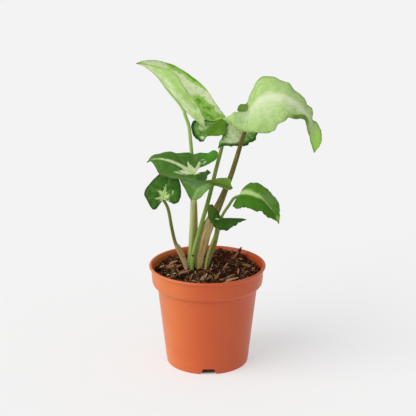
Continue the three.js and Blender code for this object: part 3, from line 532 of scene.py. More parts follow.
MARKINGS["leaf_right"] = {
    "green": (70, 120, 26), "light": (104, 148, 46), "rim": (48, 96, 20), "cream": (172, 198, 126),
    "star": (4, 1, 3), "band": (0.6, 0.7, 0.4), "edge": 0.8, "ragged": 3, "dusty": 0.5, "vein_show": 0.15,
    "seam": 0.0, "blur": 0.45,
    "blotches": [
        (0.08, 0.08, 0.19, 0.18, 1.0), (0.3, 0.0, 0.15, 0.13, 0.85), (0.5, -0.02, 0.16, 0.09, 0.5),
    ],
    # Painted sheen: the first patch is a greyish highlight on the upper half.
    "patches": [
        (LEFT, 0.38, 0.62, WHOLE, (102, 142, 68)), (RIGHT, -1.2, 0.8, WHOLE, (60, 110, 22)),
        (BOTH, 0.85, 1.2, WHOLE, (150, 190, 48)),
    ],
    "under": (112, 150, 66), "under_streak": (140, 172, 94), "crimp": 1.1, "wave": 0.4, "veins": 7,
    "stalk": [(68, (170, 190, 108)), (84, (158, 178, 98)), (102, (136, 160, 72)), (134, (104, 132, 44))],
}
MARKINGS["leaf_front_small"] = {
    "green": (42, 76, 20), "light": (56, 94, 30), "rim": (32, 66, 16), "cream": (160, 196, 106),
    "star": (3.6, 2.5, 1.5), "edge": 0.8, "ragged": 1.5, "veins": 5, "vein_show": 0.12,
    "patches": [(LEFT, -1.2, -0.3, WHOLE, (76, 102, 34)), (BOTH, 0.98, 1.2, WHOLE, (120, 150, 50))],
    "under": (58, 92, 34), "under_streak": (74, 110, 48), "crimp": 1.4, "wave": 0.3,
    "stalk": [(68, (178, 178, 108)), (84, (164, 160, 92)), (100, (150, 162, 82)), (118, (80, 108, 38))],
}


def marks_of(name):
    return {**PLAIN_MARKS, **MARKINGS[name]}


class Curve:
    """A smooth curve through points or numbers; places along it run from 0 to 1."""

    def __init__(self, points):
        self.points = [2 * points[0] - points[1], *points, 2 * points[-1] - points[-2]]

    def at(self, place):
        spans = len(self.points) - 3
        scaled = min(max(place, 0.0), 1.0) * spans
        k = min(int(scaled), spans - 1)
        share = scaled - k
        before, start, end, after = self.points[k:k + 4]
        leave = (end - before) / 2
        arrive = (after - start) / 2
        square = 3 * (end - start) - 2 * leave - arrive
        cube = 2 * (start - end) + leave + arrive
        return start + leave * share + square * share**2 + cube * share**3

    def spaced(self, first, last, steps):
        """Points at equal spacing between two places."""
        fine_steps = FINE_STEPS * steps
        fine = [self.at(first + (last - first) * k / fine_steps) for k in range(fine_steps + 1)]
        reach = [0.0]
        for near, far in zip(fine, fine[1:]):
            reach.append(reach[-1] + (far - near).length)
        points = []
        k = 0
        for i in range(steps + 1):
            wanted = reach[-1] * i / steps
            while k < fine_steps - 1 and reach[k + 1] < wanted:
                k += 1
            share = (wanted - reach[k]) / max(reach[k + 1] - reach[k], 1e-9)
            points.append(fine[k].lerp(fine[k + 1], share))
        return points


def curve_through(points):
    return Curve([Vector(point[:3]) for point in points])


def smooth_step(low, high, value):
    share = min(max((value - low) / (high - low), 0.0), 1.0)
    return share * share * (3 - 2 * share)


def polyline_length(points):
    return sum((far - near).length for near, far in zip(points, points[1:]))


# ---- Meshes and objects ---------------------------------------------------------------------
WELD = 0.002  # points nearer to each other than this, in millimetres, become one


def weld(bm):
    bmesh.ops.remove_doubles(bm, verts=bm.verts, dist=WELD)


def in_metres(bm):
    bmesh.ops.scale(bm, vec=(MM, MM, MM), verts=bm.verts)


def face_outwards(bm):
    bmesh.ops.recalc_face_normals(bm, faces=bm.faces)


def turn_verts(bm, verts, angle, axis="Z"):
    bmesh.ops.rotate(bm, verts=verts, matrix=Matrix.Rotation(angle, 3, axis))


def grid_step(place, steps):
    """The row or column of a grid, which reaches from -1 to 1, that a place on it belongs to."""
    return round((place + 1) / 2 * steps)


def mark_layers(bm, marks):
    return {mark: bm.verts.layers.float.new(mark) for mark in marks}


def set_marks(vert, layers, values):
    for mark, value in values.items():
        vert[layers[mark]] = value


def mesh_of(name, bm):
    """The mesh of a bmesh, which is freed."""
    mesh = bpy.data.meshes.new(name)
    bm.to_mesh(mesh)
    bm.free()
    return mesh


def placed(name, data):
    """An object with its data, in the scene."""
    made = bpy.data.objects.new(name, data)
    bpy.context.scene.collection.objects.link(made)
    return made


def applied_mesh(piece):
    """The mesh of an object with its modifiers applied."""
    graph = bpy.context.evaluated_depsgraph_get()
    return bpy.data.meshes.new_from_object(piece.evaluated_get(graph))


def smooth_shaded(mesh, sharp_angle):
    """Shade a mesh smooth, broken where it turns by more than an angle in degrees."""
    mesh.shade_smooth()
    mesh.set_sharp_from_angle(angle=math.radians(sharp_angle))


def finished(name, bm, materials, sharp_angle):
    """A piece with its materials and smooth shading, in the scene."""
    mesh = mesh_of(name, bm)
    for material in materials:
        mesh.materials.append(material)
    smooth_shaded(mesh, sharp_angle)
    return placed(name, mesh)


def put_in_place(piece, slot, *nodes):
    """Tie a piece to the frame, in place of plainer solids."""
    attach(piece, "root")
    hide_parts(*nodes)


# ---- Blade surface --------------------------------------------------------------------------
UP_SPREAD = 4  # rows to either side over which the direction of a bulge is averaged
CALM_WIDTH = 4  # a half narrower than this has smaller teeth and waves
SMALL_TOOTH = 1.6  # lengths of the teeth and waves of a margin
LARGE_TOOTH = 3.0
SMALL_TOOTH_SHARE = 0.6
TOOTH_POWER = 6  # how closely the teeth keep to the margin
WAVE_LENGTH = 7.0
WAVE_HEIGHT = 2
SIDE_SEED = 3.3
FLAP_SEED = 4.2
LENGTH_STEPS = 12  # steps in which a length is measured before it is divided
LEAST_LOBE_STEPS = 6
VEIN_SLANT = 0.32  # how far along a side vein starts before it meets the margin
VEIN_BEND = 1.2
VEIN_LEVEL = 0.6  # where the quilting between two veins crosses the plain blade
PILLOW_HEIGHT = 0.35  # soft unevenness of a blade, away from its main veins
PILLOW_SIZE = 6
PILLOW_FROM_VEIN = 3
LOBE_VEIN_REACH = 0.5  # across a lobe's tip, how far its main vein has turned outwards


class Half:
    """One half of a blade, or the flap of a folded lobe, as a surface over two edges."""

    def __init__(self, inner, outer, camber, side, lobe_steps, marks, seed):
        self.inner = inner
        self.outer = outer
        self.camber = camber
        self.side = side
        self.lobe_steps = lobe_steps
        self.crimp = marks["crimp"]
        self.wave = marks["wave"]
        self.seed = seed
        self.travel = [0.0]
        for near, far in zip(outer, outer[1:]):
            self.travel.append(self.travel[-1] + (far - near).length)
        facing = [self.facing(row) for row in range(len(inner))]
        self.ups = []
        for row in range(len(inner)):
            nearby = facing[max(row - UP_SPREAD, 0):row + UP_SPREAD + 1]
            self.ups.append(sum(nearby, Vector()).normalized())

    def facing(self, row):
        """The direction out of the upper face at one row."""
        ahead = self.inner[min(row + 1, len(self.inner) - 1)] - self.inner[max(row - 1, 0)]
        return ahead.cross(self.outer[row] - self.inner[row]).normalized() * self.side

    def along(self, row):
        """-1 at the lobe tip, 0 beside the stalk's top, 1 at the leaf tip."""
        if row <= self.lobe_steps:
            return (row - self.lobe_steps) / self.lobe_steps
        return (row - self.lobe_steps) / (len(self.inner) - 1 - self.lobe_steps)

    def point(self, row, share):
        """The place on a row at a share of the way from the inner edge to the outer one."""
        across = self.outer[row] - self.inner[row]
        width = across.length
        calm = smooth_step(0, CALM_WIDTH, width)
        teeth = SMALL_TOOTH_SHARE * self.sway(row, SMALL_TOOTH, 0) + self.sway(row, LARGE_TOOTH, 5)
        reach = share + self.crimp * teeth * calm * share**TOOTH_POWER / max(width, 1.0)
        lift = self.camber * width * math.sin(math.pi * share)
        lift += WAVE_HEIGHT * self.wave * self.sway(row, WAVE_LENGTH, 9) * calm * share**2
        return self.inner[row] + across * reach + self.ups[row] * lift

    def sway(self, row, length, layer):
        """Noise along the outer edge, with waves of about a given length."""
        return noise.noise(Vector((self.travel[row] / length, self.seed, layer)))


def leaf_halves(name, leaf, step):
    """The two halves of a blade, and its flap if a lobe is folded."""
    marks = marks_of(name)
    top = leaf["stalk"][-1][:3]
    tip = leaf["rib"][-1]
    rib = curve_through([top, *leaf["rib"]])
    blade_steps = round(polyline_length(rib.spaced(0, 1, LENGTH_STEPS)) / step)
    halves = []
    for key, side in (("left", 1), ("right", -1)):
        half = leaf[key]
        sinus = curve_through([top, *half["sinus"]])
        margin = curve_through([half["sinus"][-1], *half["margin"], tip])
        shoulder = half["shoulder"] / (len(half["margin"]) + 1)
        lobe_length = polyline_length(margin.spaced(0, shoulder, LENGTH_STEPS))
        lobe_steps = max(LEAST_LOBE_STEPS, round(lobe_length / step))
        inner = sinus.spaced(1, 0, lobe_steps) + rib.spaced(0, 1, blade_steps)[1:]
        outer = margin.spaced(0, shoulder, lobe_steps) + margin.spaced(shoulder, 1, blade_steps)[1:]
        seed = len(name) + SIDE_SEED * side
        halves.append(Half(inner, outer, half["camber"], side, lobe_steps, marks, seed))
    if "fold" in leaf:
        lobe = halves[0]
        start = Vector(leaf["left"]["sinus"][leaf["fold"]["hinge"] - 1])
        edge = lobe.inner[:lobe.lobe_steps + 1]
        hinge = edge[nearest(edge).find(start)[1]:]
        rows = len(hinge) - 1
        flap = curve_through([hinge[0], *leaf["fold"]["margin"], top]).spaced(0, 1, rows)
        halves.append(Half(hinge, flap, leaf["fold"]["camber"], -1, rows, marks, FLAP_SEED))
    return halves


def nearest(points):
    tree = kdtree.KDTree(len(points))
    for k, point in enumerate(points):
        tree.insert(point, k)
    tree.balance()
    return tree


def main_veins(halves):
    """Points along the midrib and along the main vein of each lobe."""
    left = halves[0]
    points = left.inner[left.lobe_steps:]
    for half in halves[:2]:
        for row in range(half.lobe_steps + 1):
            back = -half.along(row)
            points.append(half.point(row, LOBE_VEIN_REACH * (1 - (1 - back) ** 2)))
    return points


def side_vein(along, share, veins):
    """0 on a side vein and 1 half way between two."""
    phase = max(veins * (abs(along) - VEIN_SLANT * share**VEIN_BEND), -0.5)
    return 2 * abs(phase - round(phase))


PATCH_BLEND = 0.1  # along a blade, to either side of a patch's end
STAR_TURN = (-0.2, 0.15)  # along a blade, where the star's reach changes to that on the lobe
LOBE_BAND_END = 0.45
BAND_FADES_FROM = 0.15  # of the band's own reach
LINE_FADES_FROM = 0.7
PATCH_MARKS = ("patch_a", "patch_b", "patch_c", "patch_d")
BLADE_MARKS = (
    "along", "across", "rib_mm", "edge_mm", "base_mm", "reach_mm", "band_mm", "tip_mm", "blotch",
    "under_shade", *PATCH_MARKS,
)


def star_reach(star, side, along):
    blade, left, right = star
    lobe = left if side > 0 else right
    return blade + (lobe - blade) * smooth_step(*STAR_TURN, -along)


def band_width(band, along):
    half_width, end, line = band
    if along < 0:
        return half_width * (1 - smooth_step(0, LOBE_BAND_END, -along))
    broad = half_width * (1 - smooth_step(BAND_FADES_FROM * end, end, along)) ** 0.7
    return max(broad, line * (1 - smooth_step(LINE_FADES_FROM, 1, along)))


def blotch_at(blotches, along, across):
    total = 0.0
    for at, aside, long, wide, strength in blotches:
        total += strength * math.exp(-((along - at) / long) ** 2 - ((across - aside) / wide) ** 2)
    return total


def patch_at(patch, side, along, edge_mm):
    """1 inside the patch of a colour of its own, 0 outside it."""
    sides, low, high, reach, _ = patch
    if side not in sides:
        return 0.0
    inside = smooth_step(low - PATCH_BLEND, low + PATCH_BLEND, along)
    inside *= 1 - smooth_step(high - PATCH_BLEND, high + PATCH_BLEND, along)
    return inside * (1 - smooth_step(reach, reach + 1, edge_mm))


def pattern_at(marks, side, along, share, edge_mm):
    """What the markings of a blade need to know at one place on it."""
    across = share * side
    pattern = {
        "along": along,
        "across": across,
        "reach_mm": star_reach(marks["star"], side, along),
        "band_mm": band_width(marks["band"], along),
        "blotch": blotch_at(marks["blotches"], along, across),
        "under_shade": blotch_at(marks["under_shades"], along, across),
    }
    for mark, patch in zip(PATCH_MARKS, marks["patches"]):
        pattern[mark] = patch_at(patch, side, along, edge_mm)
    return pattern


def blade_bmesh(name, settings):
    """The blade as one sheet of faces, with its upper face outwards, marked for its material."""
    leaf = LEAVES[name]
    marks = marks_of(name)
    halves = leaf_halves(name, leaf, settings.step / MM)
    bm = bmesh.new()
    layers = mark_layers(bm, BLADE_MARKS)
    rib_tree = nearest(main_veins(halves))
    edge_tree = nearest([point for half in halves for point in half.outer])
    left = halves[0]
    rib = left.inner[left.lobe_steps:]
    centre = rib[round(marks["centre"] * (len(rib) - 1))]
    for half in halves:
        rows = len(half.inner) - 1
        grid = bmesh.ops.create_grid(bm, x_segments=rows, y_segments=settings.across, size=1)
        for vert in grid["verts"]:
            row = grid_step(vert.co.x, rows)
            share = grid_step(vert.co.y, settings.across) / settings.across
            point = half.point(row, share)
            distances = {
                "rib_mm": rib_tree.find(point)[2],
                "edge_mm": edge_tree.find(point)[2],
                "base_mm": (point - centre).length,
                "tip_mm": (point - rib[-1]).length,
            }
            set_marks(vert, layers, distances)
            along = half.along(row)
            set_marks(vert, layers, pattern_at(marks, half.side, along, share, distances["edge_mm"]))
            vert.co = point
        if half.side < 0:
            faces = {face for vert in grid["verts"] for face in vert.link_faces}
            bmesh.ops.reverse_faces(bm, faces=list(faces))
    weld(bm)
    bm.normal_update()
    sink = settings.vein_depth / MM
    for vert in bm.verts:
        share = abs(vert[layers["across"]])
        gap = side_vein(vert[layers["along"]], share, marks["veins"])
        quilt = sink * (gap - VEIN_LEVEL) * math.sin(math.pi * share**0.7)
        pillow = PILLOW_HEIGHT * noise.noise(vert.co / PILLOW_SIZE)
        pillow *= smooth_step(0, PILLOW_FROM_VEIN, vert[layers["rib_mm"]])
        vert.co += vert.normal * (quilt + pillow)
    in_metres(bm)
    return bm, halves


def thickened(name, bm, thickness):
    """The sheet made a closed shell; its second material is for the underside and the rim."""
    sheet = placed(name, mesh_of(name, bm))
    for _ in range(2):
        sheet.data.materials.append(None)
    shell = sheet.modifiers.new("Blade thickness", "SOLIDIFY")
    shell.thickness = thickness
    shell.offset = 0
    shell.material_offset = 1
    shell.material_offset_rim = 1
    mesh = applied_mesh(sheet)
    bpy.data.meshes.remove(sheet.data)
    return mesh


# ---- Stalks ---------------------------------------------------------------------------------
STALK_MARKS = ("height_mm", "turn", "sheath", "side", "front")
SHEATH_BLEND = 1.2  # a stalk this much wider than a round one is all sheath
CHANNEL_DEPTH = 0.28  # of a sheath: depth, place round it and spread of its channel
CHANNEL_ANGLE = -0.5
CHANNEL_SPREAD = 0.35
RIDGES = 7  # fine lengthwise ridges round a stalk
RIDGE_DEPTH = 0.02
SWELL = 0.03  # slow swelling and thinning along a stalk
SWELL_LENGTH = 9
RIB_HEIGHT_MARK = 1000.0  # stands for a height on the midrib, which is coloured as the blade
STALK_SPANS = 30  # steps in which a stalk's length is measured


def out_of_blade(halves, step):
    """The midrib's place at a step, and the direction out of the upper face there."""
    left, right = halves[:2]
    rib = left.inner[left.lobe_steps:]
    ahead = rib[min(step + 1, len(rib) - 1)] - rib[step - 1]
    up = ahead.cross(left.outer[step + left.lobe_steps] - rib[step]).normalized()
    up -= ahead.cross(right.outer[step + right.lobe_steps] - rib[step]).normalized()
    return rib[step], up.normalized()


def stalk_path(name, halves):
    """Places and half widths along the stalk and on along the midrib, which stands out below."""
    leaf = LEAVES[name]
    stalk = curve_through(leaf["stalk"])
    widths = Curve([point[3] for point in leaf["stalk"]])
    steps = round(polyline_length(stalk.spaced(0, 1, STALK_SPANS)) / STALK_STEP)
    top_up = out_of_blade(halves, 1)[1]
    path = []
    for k in range(steps + 1):
        half_width = widths.at(k / steps)
        sunk = half_width * smooth_step(STALK_SINKS_FROM, 1, k / steps)
        path.append((stalk.at(k / steps) - top_up * sunk, half_width, 1.0))
    rib_steps = len(halves[0].inner) - 1 - halves[0].lobe_steps
    reach = int(RIB_REACH * rib_steps)
    start_width = RIB_START_SHARE * leaf["stalk"][-1][3]
    for k in range(RIB_STEP, reach + 1, RIB_STEP):
        half_width = start_width * (1 - k / reach) ** RIB_TAPER + RIB_END_RADIUS
        place, up = out_of_blade(halves, k)
        path.append((place - up * half_width, half_width, 0.0))
    return path


def stalk_bmesh(name, halves):
    """A tapering stalk, flattened and channelled where it is a sheath, closed at both ends."""
    path = stalk_path(name, halves)
    steps = len(path) - 1
    bm = bmesh.new()
    layers = mark_layers(bm, STALK_MARKS)
    grid = bmesh.ops.create_grid(bm, x_segments=steps, y_segments=STALK_SIDES, size=1)
    for vert in grid["verts"]:
        row = grid_step(vert.co.x, steps)
        angle = math.pi * vert.co.y
        centre, half, on_stalk = path[row]
        tangent = (path[min(row + 1, steps)][0] - path[max(row - 1, 0)][0]).normalized()
        back = Vector((0, 1, 0))
        back = (back - tangent * back.dot(tangent)).normalized()
        across = tangent.cross(back)
        sheath = smooth_step(ROUND_STALK, ROUND_STALK + SHEATH_BLEND, half)
        depth = ROUND_STALK + (half - ROUND_STALK) * SHEATH_DEPTH_GAIN if half > ROUND_STALK else half
        in_channel = math.exp(-((angle - CHANNEL_ANGLE) / CHANNEL_SPREAD) ** 2)
        channel = 1 - CHANNEL_DEPTH * sheath * in_channel
        ridges = 1 + RIDGE_DEPTH * math.cos(RIDGES * angle) * on_stalk
        swell = 1 + SWELL * noise.noise(centre / SWELL_LENGTH)
        vert.co = centre + across * (math.sin(angle) * half * ridges * swell)
        vert.co -= back * (math.cos(angle) * depth * channel * ridges * swell)
        set_marks(vert, layers, {
            "height_mm": centre.z if on_stalk else RIB_HEIGHT_MARK,
            "turn": abs(angle) / math.pi,
            "sheath": sheath,
            "side": math.sin(angle),
            "front": math.cos(angle),
        })
    weld(bm)
    bmesh.ops.holes_fill(bm, edges=bm.edges, sides=STALK_SIDES)
    face_outwards(bm)
    for face in bm.faces:
        face.material_index = 2
    in_metres(bm)
    return bm


# ---- Materials ------------------------------------------------------------------------------
class Value:
    """A number in a node tree; a sum or product of it adds the node that works it out."""

    def __init__(self, graph, socket):
        self.graph = graph
        self.socket = socket

    def __abs__(self):
        return self.graph.math("ABSOLUTE", self)

    def __add__(self, other):
        return self.graph.math("ADD", self, other)

    def __sub__(self, other):
        return self.graph.math("SUBTRACT", self, other)

    def __rsub__(self, other):
        return self.graph.math("SUBTRACT", other, self)

    def __mul__(self, other):
        return self.graph.math("MULTIPLY", self, other)

    def __pow__(self, other):
        return self.graph.math("POWER", self, other)

    def spread(self, most, least):
        """From least where the value is 0, to most more than that where it is 1."""
        return self * most + least


class Graph:
    """Adds nodes to a tree and links them, one call for each node."""

    def __init__(self, tree):
        self.tree = tree

    def node(self, kind, inputs=None, **settings):
        made = self.tree.nodes.new(kind)
        for key, value in settings.items():
            setattr(made, key, value)
        for key, value in (inputs or {}).items():
            self.feed(made.inputs[key], value)
        return made

    def feed(self, socket, value):
        if isinstance(value, Value):
            value = value.socket
        if isinstance(value, bpy.types.NodeSocket):
            self.tree.links.new(value, socket)
        else:
            socket.default_value = value

    def math(self, operation, first, second=0.0):
        made = self.node("ShaderNodeMath", operation=operation)
        self.feed(made.inputs[0], first)
        self.feed(made.inputs[1], second)
        return Value(self, made.outputs[0])

    def larger(self, first, second):
        return self.math("MAXIMUM", first, second)

    def values(self, sockets):
        return {socket.name: Value(self, socket) for socket in sockets}

    def mark(self, name):
        made = self.node("ShaderNodeAttribute", attribute_name=name)
        return Value(self, made.outputs["Fac"])

    def soft(self, value, low, high):
        """0 up to low, 1 from high on, and smooth between."""
        made = self.node("ShaderNodeMapRange", interpolation_type="SMOOTHSTEP")
        self.feed(made.inputs["Value"], value)
        self.feed(made.inputs["From Min"], low)
        self.feed(made.inputs["From Max"], high)
        return Value(self, made.outputs["Result"])

    def fade(self, value, low, high):
        """1 up to low, 0 from high on, and smooth between."""
        return 1.0 - self.soft(value, low, high)

    def place(self):
        return self.node("ShaderNodeTexCoord").outputs["Object"]

    def vector(self, x, y, z=0.0):
        return self.node("ShaderNodeCombineXYZ", {"X": x, "Y": y, "Z": z}).outputs["Vector"]

    def distance(self, point):
        """How far a place on the object is from a point, in metres."""
        made = self.node("ShaderNodeVectorMath", {0: self.place(), 1: point}, operation="DISTANCE")
        return Value(self, made.outputs["Value"])

    def noise(self, scale, detail=2.0, roughness=0.5, vector=None):
        """Noise from 0 to 1, with scale waves to a metre."""
        made = self.node("ShaderNodeTexNoise", {
            "Vector": vector or self.place(), "Scale": scale, "Detail": detail, "Roughness": roughness,
        })
        return Value(self, made.outputs["Fac"])

    def sway(self, scale, detail=2.0, roughness=0.5):
        """Noise to either side of zero."""
        return self.noise(scale, detail, roughness) - 0.5

    def mix(self, share, first, second):
        """The first colour turned into the second by a share; each is a socket or three values."""
        made = self.node("ShaderNodeMix", data_type="RGBA")
        self.feed(made.inputs["Factor"], share)
        for label, tint in (("A", first), ("B", second)):
            linked = isinstance(tint, bpy.types.NodeSocket)
            self.feed(made.inputs[label], tint if linked else solid_colour(tint))
        return made.outputs["Result"]

    def bump(self, height, strength, distance):
        made = self.node("ShaderNodeBump", {"Height": height, "Strength": strength, "Distance": distance})
        return made.outputs["Normal"]


def new_material(name):
    """A material with a Principled shader, and a Graph to feed it."""
    material = bpy.data.materials.new(name)
    material.use_nodes = True
    tree = material.node_tree
    tree.nodes.clear()
    graph = Graph(tree)
    shader = graph.node("ShaderNodeBsdfPrincipled")
    output = graph.node("ShaderNodeOutputMaterial")
    tree.links.new(shader.outputs["BSDF"], output.inputs["Surface"])
    return material, graph, shader


def set_skin(graph, shader, tint, gloss, sheen, relief, strength, depth):
    """Feed a shader its colour, roughness, sheen and relief, which is depth metres high."""
    graph.feed(shader.inputs["Base Color"], tint)
    graph.feed(shader.inputs["Roughness"], gloss)
    shader.inputs["Specular IOR Level"].default_value = sheen
    graph.feed(shader.inputs["Normal"], graph.bump(relief, strength, depth))


def new_group(name, numbers, outputs):
    """A node group with number inputs and number outputs, and its Graph."""
    tree = bpy.data.node_groups.new(name, "ShaderNodeTree")
    for label, default in numbers.items():
        socket = tree.interface.new_socket(name=label, in_out="INPUT", socket_type="NodeSocketFloat")
        socket.default_value = default
    for label in outputs:
        tree.interface.new_socket(name=label, in_out="OUTPUT", socket_type="NodeSocketFloat")
    graph = Graph(tree)
    given = graph.values(graph.node("NodeGroupInput").outputs)
    return graph, given, graph.node("NodeGroupOutput").inputs


def use_group(graph, name, **values):
    """The outputs of a node group, which is built the first time it is used."""
    if name not in bpy.data.node_groups:
        GROUPS[name]()
    made = graph.node("ShaderNodeGroup", node_tree=bpy.data.node_groups[name])
    for label, value in values.items():
        graph.feed(made.inputs[label.replace("_", " ").capitalize()], value)
    return graph.values(made.outputs)


# Sizes of the noise in the leaf markings, in waves to a metre.
VEIN_WOBBLE = 160.0
FINE_STRAY = 520.0
BROAD_STRAY = 150.0
FLECKS = 800.0
BITES = 620.0
MOTTLE = 260.0
DUST = 1100.0
FRAY = 900.0
# Where marks begin and where they are full: in millimetres from an edge, or as levels of noise.
VEIN_LINE = (0.02, 0.16)
RIB_SPIKE = (0.2, 2.2)
STAR_EDGE = (-0.6, 1.4)
BAND_EDGE = (-0.5, 1.1)
BAND_START = (0.05, 0.4)
FLECK_LEVELS = (0.46, 0.7)
FLECKED_FROM_EDGE = (0.5, 4.0)
BITE_LEVELS = (0.45, 0.72)
DARK_LEVELS = (0.25, 0.75)
RIM_EDGE = (-0.8, 1.0)
MOTTLE_LEVELS = (0.35, 0.68)
DUST_LEVELS = (0.47, 0.6)
DUSTY_TO_EDGE = (0.3, 3.4)
STREAK_LEVELS = (0.4, 0.66)
DRY_TIP = (0.5, 2.0)
DRY_LINE = (0.12, 0.5)
# How much marks stray: the fine noise against the broad, and that of each mark against the star.
FINE_SHARE = 1.4
BAND_STRAY = 0.35
BLOTCH_STRAY = 0.16
RIM_STRAY = 0.6
SPIKE_LEAST = 0.3  # the shortest spike of a star, and its reach between two veins
STAR_CORE = 0.22
SPIKE_POWER = 0.45
FLECK_SHARE = 0.7
CLEAR_OF_ZERO = 20.0  # whole veins added, so that the phase is never negative
SIDE_NUMBER = 7.3  # so that veins of the two halves, and of lobe and blade, differ
LOBE_NUMBER = 3.1
FRAY_REACH = 1.5  # of the dry point, in millimetres; that of the dry line is a share of it
LINE_FRAY = 0.35
LINE_SHARE = 0.4
STREAK_STRETCH = (3.0, 6.0)  # streaks to a blade, lengthwise and crosswise
STREAK_SIZE = 1.6


def make_vein_group():
    """Side veins: Line is 1 on a vein, Spike fades outwards from it, Own differs for each vein."""
    graph, given, put = new_group("Leaf veins", {"Veins": 7.0}, ("Line", "Spike", "Own"))
    along = abs(graph.mark("along"))
    slant = abs(graph.mark("across")) ** VEIN_BEND * VEIN_SLANT
    wobble = graph.sway(VEIN_WOBBLE, 1.0) * 0.5
    phase = (along - slant) * given["Veins"] + wobble
    phase = graph.larger(phase, -0.5) + CLEAR_OF_ZERO
    saw = graph.math("PINGPONG", phase, 0.5) * 2.0
    graph.feed(put["Line"], graph.fade(saw, *VEIN_LINE))
    near_rib = graph.fade(graph.mark("rib_mm"), *RIB_SPIKE)
    graph.feed(put["Spike"], graph.larger(1.0 - saw ** SPIKE_POWER, near_rib))
    turned = graph.math("SIGN", graph.mark("across")) * SIDE_NUMBER
    ahead = graph.math("SIGN", graph.mark("along")) * LOBE_NUMBER
    number = graph.math("ROUND", phase) + turned + ahead
    own = graph.node("ShaderNodeTexWhiteNoise", {"W": number}, noise_dimensions="1D")
    graph.feed(put["Own"], own.outputs["Value"])


def cream_mask(graph, given, stray, blotch):
    """The star, the band and the blotches, bitten by the green, and flecks of cream in it."""
    spike = given["Own"] * (1 - SPIKE_LEAST) + SPIKE_LEAST
    spike = given["Spike"] * spike * (1 - STAR_CORE) + STAR_CORE
    reach = graph.mark("reach_mm") * spike
    star = graph.soft(reach - graph.mark("base_mm") + stray, *STAR_EDGE)
    band = graph.mark("band_mm") - graph.mark("rib_mm")
    band = graph.soft(band + stray * BAND_STRAY, *BAND_EDGE)
    band = band * graph.soft(graph.mark("band_mm"), *BAND_START)
    faint, full = 0.5 - given["Blur"], given["Blur"] + 0.5
    cream = graph.larger(graph.larger(star, band), graph.soft(blotch, faint, full))
    bites = graph.soft(graph.noise(BITES, 3.0, 0.65), *BITE_LEVELS)
    cream = cream * (1.0 - bites * given["Speckle"])
    flecks = graph.soft(graph.noise(FLECKS, 3.0, 0.65), *FLECK_LEVELS)
    inner = graph.soft(graph.mark("edge_mm"), *FLECKED_FROM_EDGE)
    return graph.larger(cream, flecks * given["Speckle"] * inner * FLECK_SHARE)


def make_marking_group():
    """The cream star, band and blotches, the flecks and the margin's band of a blade."""
    numbers = {
        "Edge": 2.0, "Ragged": 3.0, "Speckle": 0.0, "Dusty": 0.0, "Blur": 0.25, "Spike": 0.0, "Own": 0.5,
    }
    masks = ("Cream", "Dark", "Rim", "Mottle", "Dust", "Stray")
    graph, given, put = new_group("Leaf markings", numbers, masks)
    wander = graph.sway(FINE_STRAY, 3.0, 0.6) * FINE_SHARE + graph.sway(BROAD_STRAY)
    graph.feed(put["Stray"], wander)
    stray = wander * given["Ragged"]
    blotch = graph.mark("blotch") + stray * BLOTCH_STRAY
    graph.feed(put["Cream"], cream_mask(graph, given, stray, blotch))
    graph.feed(put["Dark"], graph.soft(blotch * -1.0, *DARK_LEVELS))
    rim = given["Edge"] - graph.mark("edge_mm") + stray * RIM_STRAY
    graph.feed(put["Rim"], graph.soft(rim, *RIM_EDGE))
    graph.feed(put["Mottle"], graph.soft(graph.noise(MOTTLE, 4.0, 0.6), *MOTTLE_LEVELS))
    dust = graph.soft(graph.noise(DUST, 3.0, 0.7), *DUST_LEVELS)
    dust = dust * graph.fade(graph.mark("edge_mm"), *DUSTY_TO_EDGE)
    graph.feed(put["Dust"], dust * given["Dusty"])


def make_streak_group():
    """Pale streaks that run with the leaf, from its own lengthwise and crosswise measure."""
    graph, _, put = new_group("Leaf streaks", {}, ("Streak",))
    long, wide = STREAK_STRETCH
    place = graph.vector(graph.mark("along") * long, graph.mark("across") * wide)
    graph.feed(put["Streak"], graph.soft(graph.noise(STREAK_SIZE, 4.0, 0.6, place), *STREAK_LEVELS))


def make_scorch_group():
    """A dry brown point at the leaf tip and a thin dry line along the margin."""
    graph, _, put = new_group("Dry edge", {}, ("Tip", "Line"))
    fray = graph.sway(FRAY) * FRAY_REACH
    graph.feed(put["Tip"], graph.fade(graph.mark("tip_mm") + fray, *DRY_TIP))
    edge = graph.mark("edge_mm") + fray * LINE_FRAY
    graph.feed(put["Line"], graph.fade(edge, *DRY_LINE))


def make_grain_group():
    """Fine and coarse noise for moulded plastic, leaf skin and peat, both from 0 to 1."""
    numbers = {"Fine scale": 2000.0, "Coarse scale": 200.0}
    graph, given, put = new_group("Grain", numbers, ("Fine", "Coarse"))
    graph.feed(put["Fine"], graph.noise(given["Fine scale"], 2.0, 0.6))
    graph.feed(put["Coarse"], graph.noise(given["Coarse scale"], 3.0, 0.5))


GROUPS = {
    "Leaf veins": make_vein_group,
    "Leaf markings": make_marking_group,
    "Leaf streaks": make_streak_group,
    "Dry edge": make_scorch_group,
    "Grain": make_grain_group,
}
LEAF_SHEEN = 0.1  # leaf skin reflects less of a white room than plastic does
PALE_STREAK = srgb(208, 202, 132)
DARK_STREAK = srgb(84, 72, 26)
SHEATH_EDGE = srgb(100, 74, 36)
SHEATH_SPOT = srgb(96, 48, 22)
SCAR_COLOUR = srgb(92, 46, 22)
SCAR_FADE = (0.7 * MM, 1.4 * MM)  # from a scar's middle: all scar up to the first, none from the second
SCAR_FRAY = 1.12 * MM
SEAM = (0.1, 0.5)  # from the midrib, in millimetres: green up to the first in the cream
PATCH_LEVELS = (0.1, 0.9)
PATCH_STRAY = 0.5
